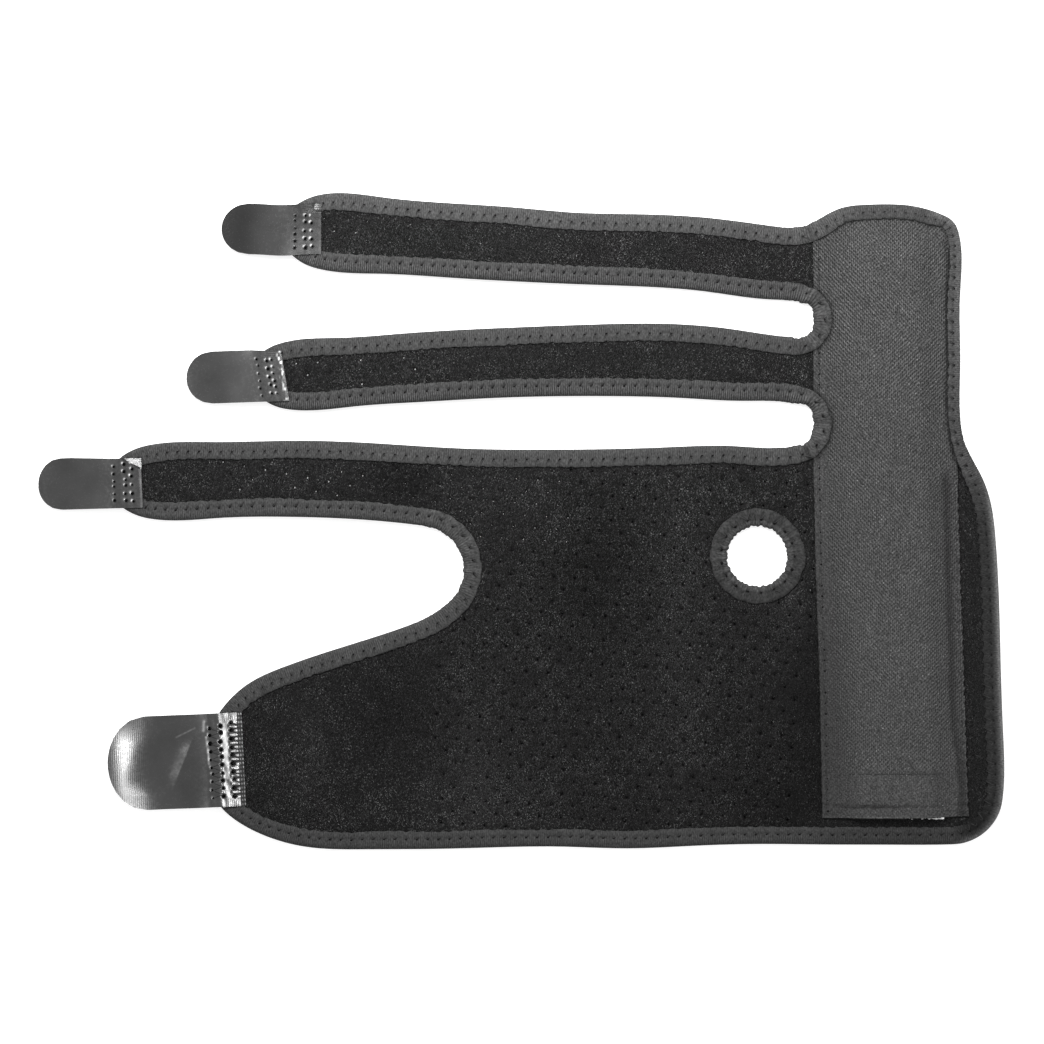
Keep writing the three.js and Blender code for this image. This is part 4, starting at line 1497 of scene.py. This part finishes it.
def make_sleeve():
    """The sleeve's cloth, as a closed sheet with soft lips, and its seams."""
    sleeve = Sleeve()
    near_mouth = sleeve.mouth + FINE_AT_MOUTH
    near_top = sleeve.top - FINE_AT_TOP
    y = np.concatenate([
        np.linspace(sleeve.mouth, near_mouth, 60),
        np.arange(near_mouth + 0.5, FREE_TOP, 0.5),
        np.arange(FREE_TOP, near_top, 1.0),
        np.linspace(near_top + 0.5, sleeve.top, 40),
    ])
    y[0] += 1e-4
    y[-1] -= 1e-4
    left, right = sleeve.spans(y)
    free = smooth(1, 5, y - sleeve.mouth) * fade(8, FREE_TOP, y)
    scallop = beat(y / SEAM_PITCH) * (1 + 0.5 * ripple(0 * y, y, 7, 35)) * free
    right = right - SCALLOP["right"] * scallop
    left = left + SCALLOP["left"] * scallop
    share = np.linspace(0, 1, 80)
    share = share - 0.1 * np.sin(TAU * share)
    x = left[:, None] + (right - left)[:, None] * share[None]
    flat_y = np.broadcast_to(y[:, None], x.shape)
    bowed = flat_y + 0.6 * smooth(0.5, 1.0, share)[None] * fade(0, 8, flat_y - sleeve.mouth)
    top = sleeve.height(x, flat_y)
    bottom = SLEEVE_BASE + sleeve.rise(x, flat_y)
    middle = 0.45 * top + 0.55 * bottom
    rows, columns = x.shape
    upper = np.stack([x, bowed, top], 2)
    lower = np.stack([x, bowed, bottom], 2)
    lip_left = np.stack([x[:, :1] - 0.25, flat_y[:, :1], middle[:, :1]], 2)
    lip_right = np.stack([x[:, -1:] + 0.25, flat_y[:, -1:], middle[:, -1:]], 2)
    mouth_lip = np.stack([x[0], bowed[0] - 0.35, middle[0]], 1)
    top_lip = np.stack([x[-1], flat_y[-1] + 0.2, middle[-1]], 1)
    rings = np.concatenate([upper, lip_right, lower[:, ::-1], lip_left], 1)
    around = rings.shape[1]
    count = rows * around
    points = np.concatenate([rings.reshape(-1, 3), mouth_lip, top_lip])
    faces = [face[::-1] for face in grid_faces(rows, around, False, True).tolist()]
    faces.extend(sleeve_end(0, count, columns, around))
    faces.extend(face[::-1] for face in sleeve_end(count - around, count + columns, columns, around))
    piece = make_piece("pocket_cloth", points, faces, "cloth", "woven_cloth", ["stay_pocket"])
    keep_numbers(piece, "shade", sleeve.shade(points[:, 0], points[:, 1]))
    keep_numbers(piece, "weave", sleeve.weave(points[:, 0], points[:, 1]))
    sleeve_seams(sleeve)


def stitch_row(bundle, holes, start, end, pitch, sleeve):
    """A row of straight stitches between two points, dipping at their ends, with dots if holes are given."""
    start, end = np.array(start, float), np.array(end, float)
    count = max(int(np.linalg.norm(end - start) / pitch), 1)
    draw = np.random.default_rng(count)
    for k in range(count):
        flat = start + (end - start) * ((k + STITCH_SHARES) / count)[:, None]
        z = sleeve.height(flat[:, 0], flat[:, 1]) + STITCH_LIFT
        bundle.tube(np.column_stack([flat, z]), THREAD)
        here = start + (end - start) * k / count
        # Dark dots at the needle holes, partly thread and partly painted shade.
        if holes is not None and draw.random() < DOT_CHANCE:
            raised = np.array([*here, float(sleeve.height(*here)) + 0.1])
            holes.bead(raised, draw.uniform(*DOT_RADIUS), 0.08)


def sleeve_seams(sleeve):
    """Seams down both sides of the sleeve, its hem and its box of stitches."""
    seam, holes = Bundle(), Bundle()
    low = sleeve.mouth + 2.5
    for side, (name, inward, dots) in enumerate((("left", 1, holes), ("right", -1, None))):
        seam_in = inward * SEAM_IN[name]
        heights = (low, *SEAM_HEIGHTS[name])
        ends = [(float(sleeve.lines(np.array(y))[side]) + seam_in, y) for y in heights]
        for start, end in zip(ends, ends[1:]):
            stitch_row(seam, dots, start, end, SEAM_PITCH, sleeve)
    hem_start, hem_end = ((HEM_ENDS[side], BOX["low"]) for side in ("left", "right"))
    stitch_row(seam, None, hem_start, hem_end, HEM_PITCH, sleeve)
    stitch_row(seam, None, (BOX["left"], BOX["high"]), (BOX["right"], BOX["high"]), BOX_PITCH, sleeve)
    for side in ("left", "right"):
        stitch_row(seam, None, (BOX[side], BOX["low"]), (BOX[side], BOX["high"]), BOX_PITCH, sleeve)
    make_piece("pocket_seams", *seam.all(), "pale_thread", "woven_cloth")
    make_piece("pocket_needle_holes", *holes.all(), "needle_hole", "woven_cloth")


# Hook strip in the mouth

# Where its edge shows below the mouth, how far the rest draws back, its teeth, and the painted glint that
# whitens the edge.
STRIP_SHOWN_FROM = 145.5
STRIP_DRAWN_BACK = 1.1
TOOTH_PITCH = 1.3
TOOTH_HEIGHT = 0.18
STRIP_GLINT = 32


def make_mouth_strip():
    """The strip, with teeth of its rows of hooks and a ragged edge painted white as a glint where it shows.
    """
    low, high = (np.array(corner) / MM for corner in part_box("mouth_hook_strip"))
    x = np.linspace(low[0], high[0], 200)[:, None]
    share = np.concatenate([np.linspace(0, 0.08, 9), np.linspace(0.1, 1, 22)])[None]
    near = low[1] + STRIP_DRAWN_BACK * fade(STRIP_SHOWN_FROM - 3, STRIP_SHOWN_FROM, x)
    near = near + 0.2 + 0.45 * (1 + ripple_along(x, 1.5, 61)) * (1 - 0.6 * smooth(150, 154, x))
    y = near + (high[1] - near) * share
    x = np.broadcast_to(x, y.shape)
    edge = np.minimum.reduce([x - low[0], high[0] - x, y - near, high[1] - y])
    soft = 0.25 * hump(edge, 0.2)
    teeth = TOOTH_HEIGHT * (x / TOOTH_PITCH % 1)
    points, faces = plate(np.stack([x, y], 2), high[2] - TOOTH_HEIGHT + teeth - soft, low[2] + soft)
    replaced = ["mouth_hook_strip"]
    piece = make_piece("mouth_strip", points, faces, "plastic", "hook_plastic", replaced, crisp=True)
    # Painted glint: where the edge shows below the mouth it is painted white.
    shown = smooth(STRIP_SHOWN_FROM - 1, STRIP_SHOWN_FROM, x) * fade(0.7, 1.1, y - near)
    rows = np.stack([0 * shown, 1 + STRIP_GLINT * shown, 0 * shown], 2).reshape(-1, 3)
    keep_vectors(piece, "rows", np.concatenate([rows, rows]))


# Making the hook tabs

# Spacing of a tab's mesh along it: its sewn end, the kinked part of the large tab, and the rest.
SEWN_STEP = 0.16
KINK_STEP = 0.3
KINK_LONG = 14
PLAIN_STEP = 0.7
TIP_LONG = 8.0
ACROSS_STEP = 0.2


def make_tab(tab):
    """One tab as a closed plate, with its rows of hooks and its tone, with its painted glints and shade,
    stored for the material.
    """
    row = tab.row
    sewn_end = tab.first + 2
    kink_end = sewn_end + (KINK_LONG if row["large"] else 0)
    along = np.concatenate([
        np.arange(0.02, sewn_end, SEWN_STEP),
        np.arange(sewn_end, kink_end, KINK_STEP),
        np.arange(kink_end, tab.length - TIP_LONG - 0.4, PLAIN_STEP),
        tab.length - 0.02 - TIP_LONG * (1 - np.sin(np.linspace(0, math.pi / 2, 18))),
    ])
    low, high = tab.spans(np.maximum(along, 4))
    near, far = row["spread"]
    spread = np.interp(along, [0, 12, 26, tab.length], [0.0, near, far, far])
    high = high + spread * (high - low) / (2 * tab.half)
    share = np.linspace(0, 1, int((high - low).max() / ACROSS_STEP))
    across = low[:, None] + (high - low)[:, None] * share[None]
    along = np.broadcast_to(along[:, None], across.shape)
    top = tab.height(along, across)
    under = tab.height(along, across, pierced=False) - TAB_SHEET
    sewn = fade(tab.first, tab.first + 2, along)
    bottom = under * (1 - sewn) + np.minimum(under, tab.base) * sewn
    bottom = np.minimum(bottom, top - 0.15)
    points, faces = plate(tab.place(along, across), top, bottom)
    name = row["node"].replace("_tab", "_hook_tab")
    piece = make_piece(name, points, faces, "plastic", "hook_plastic", [row["node"]], crisp=True)
    line = along if row["large"] else across
    lines_from, lines_full = (10, 26) if row["large"] else (0, 5)
    strength = row["rows"] * smooth(sewn_end + lines_from, sewn_end + lines_full, along)
    patch = smooth(tab.half - 4, tab.half - 3, np.abs(across) if row["large"] else across)
    strength = strength + 2.2 * patch * fade(5, 8, along)
    rows = np.stack([line, tab.tone(along, across), strength], 2).reshape(-1, 3)
    keep_vectors(piece, "rows", np.concatenate([rows, rows]))


def tab_seam(tab, seam, holes):
    """Threads of the large tab, between columns and from the last one to its end, and all needle holes."""
    threads = ()
    if tab.row["large"]:
        last, _, first = tab.row["columns"]
        threads = ((first, tab.middle, 0.12), (last, tab.last * 0.2, 0.2))
    for column, other, thick in threads:
        turns = np.arange(2 * column["count"] - 1)
        across = column["across"] + (turns - turns[-1] / 2) * column["step"] / 2
        along = np.where(turns % 2 == 0, column["along"], other)
        fine = np.arange(0, turns[-1] + 0.01, 0.25)
        fine_along = np.interp(fine, turns, along)
        fine_across = np.interp(fine, turns, across)
        lift = np.where(np.abs(fine - np.round(fine)) < 0.01, -0.3, 0.02)
        z = tab.height(fine_along, fine_across, pierced=False) + lift
        seam.tube(np.column_stack([tab.place(fine_along, fine_across), z]), thick)
    # Each needle hole gets a dark dome, partly the thread in it and partly painted shade.
    for along, across, radius, depth, _ in tab.holes:
        z = tab.height(np.array(along), np.array(across), pierced=False) - 0.4 * depth
        holes.bead(np.append(tab.place(along, across), z), radius * 1.05, 0.1)


def make_tabs():
    """All four tabs, with the large one's threads and every needle hole."""
    seam, holes = Bundle(), Bundle()
    for tab in tabs:
        make_tab(tab)
        tab_seam(tab, seam, holes)
    make_piece("wrist_tab_seam", *seam.all(), "dark_thread", "hook_plastic")
    make_piece("tab_needle_holes", *holes.all(), "hole", "hook_plastic")


# Floor, light and camera

# Width that the camera sees and its middle, in millimetres, the lens, and half the floor's side in metres.
PHOTO_WIDTH = 391.5
PHOTO_MIDDLE = (0.52, -0.19)
LENS = 85.0
SENSOR = 36.0
FLOOR_HALF = 12.0
SKY = 0.8

# Soft lights: where each hangs, what it faces, its sides in metres, its power, and if only gloss shows it.
LIGHTS = [
    {
        "name": "key", "at": (-0.03, 0.3, 0.36), "to": (-0.03, 0.2, 0),
        "side": (0.4, 0.25), "power": 7.0, "glint": False,
    },
    {
        "name": "low_glint", "at": (0.03, -0.2, 1.1), "to": (-0.1, -0.1, 0),
        "side": (0.14, 0.14), "power": 8.0, "glint": True,
    },
    {
        "name": "high_glint", "at": (0.0, 0.05, 1.1), "to": (-0.1, 0.1, 0),
        "side": (0.1, 0.1), "power": 3.0, "glint": True,
    },
]


def make_floor():
    """A pale floor that glows a little, so that it stays white up to the shadows."""
    paint = Paint("floor", Roughness=0.7, Emission_Color=(1, 1, 1, 1), Emission_Strength=0.62)
    grain = paint.noise(paint.where(), 0.01)
    mesh = bpy.data.meshes.new("floor")
    corners = [(-1, -1, 0), (1, -1, 0), (1, 1, 0), (-1, 1, 0)]
    mesh.from_pydata([(FLOOR_HALF * x, FLOOR_HALF * y, z) for x, y, z in corners], [], [(0, 1, 2, 3)])
    mesh.materials.append(paint.finish(paint.span(grain, 0.3, 0.7, 0.59, 0.61)))
    floor = bpy.data.objects.new("floor", mesh)
    bpy.context.scene.collection.objects.link(floor)


def make_lights():
    """The soft lights, which the camera itself doesn't see, and an even white sky."""
    for row in LIGHTS:
        light = bpy.data.lights.new(row["name"], "AREA")
        light.shape = "ELLIPSE" if row["glint"] else "RECTANGLE"
        light.size, light.size_y = row["side"]
        light.energy = row["power"]
        lamp = bpy.data.objects.new(light.name, light)
        place, target = Vector(row["at"]), Vector(row["to"])
        lamp.location = place
        lamp.rotation_euler = (target - place).to_track_quat("-Z", "Y").to_euler()
        lamp.visible_camera = False
        lamp.visible_glossy = row["glint"]
        lamp.visible_diffuse = not row["glint"]
        bpy.context.scene.collection.objects.link(lamp)
    world = bpy.data.worlds.new("sky")
    world.use_nodes = True
    background = world.node_tree.nodes["Background"]
    background.inputs["Color"].default_value = (1, 1, 1, 1)
    background.inputs["Strength"].default_value = SKY
    bpy.context.scene.world = world


def make_camera():
    """A camera straight above, at the distance where the foam's face fills the photo's width."""
    data = bpy.data.cameras.new("camera")
    data.lens = LENS
    data.sensor_width = SENSOR
    camera = bpy.data.objects.new("camera", data)
    distance = PHOTO_WIDTH * LENS / SENSOR
    camera.location = (PHOTO_MIDDLE[0] * MM, PHOTO_MIDDLE[1] * MM, (distance + FOAM) * MM)
    bpy.context.scene.collection.objects.link(camera)
    bpy.context.scene.camera = camera
    bpy.context.scene.view_settings.view_transform = "Standard"


make_camera()
make_lights()
make_floor()
panel_top = make_panel()
make_nap(*panel_top)
make_tapes()
make_sleeve()
make_mouth_strip()
make_tabs()
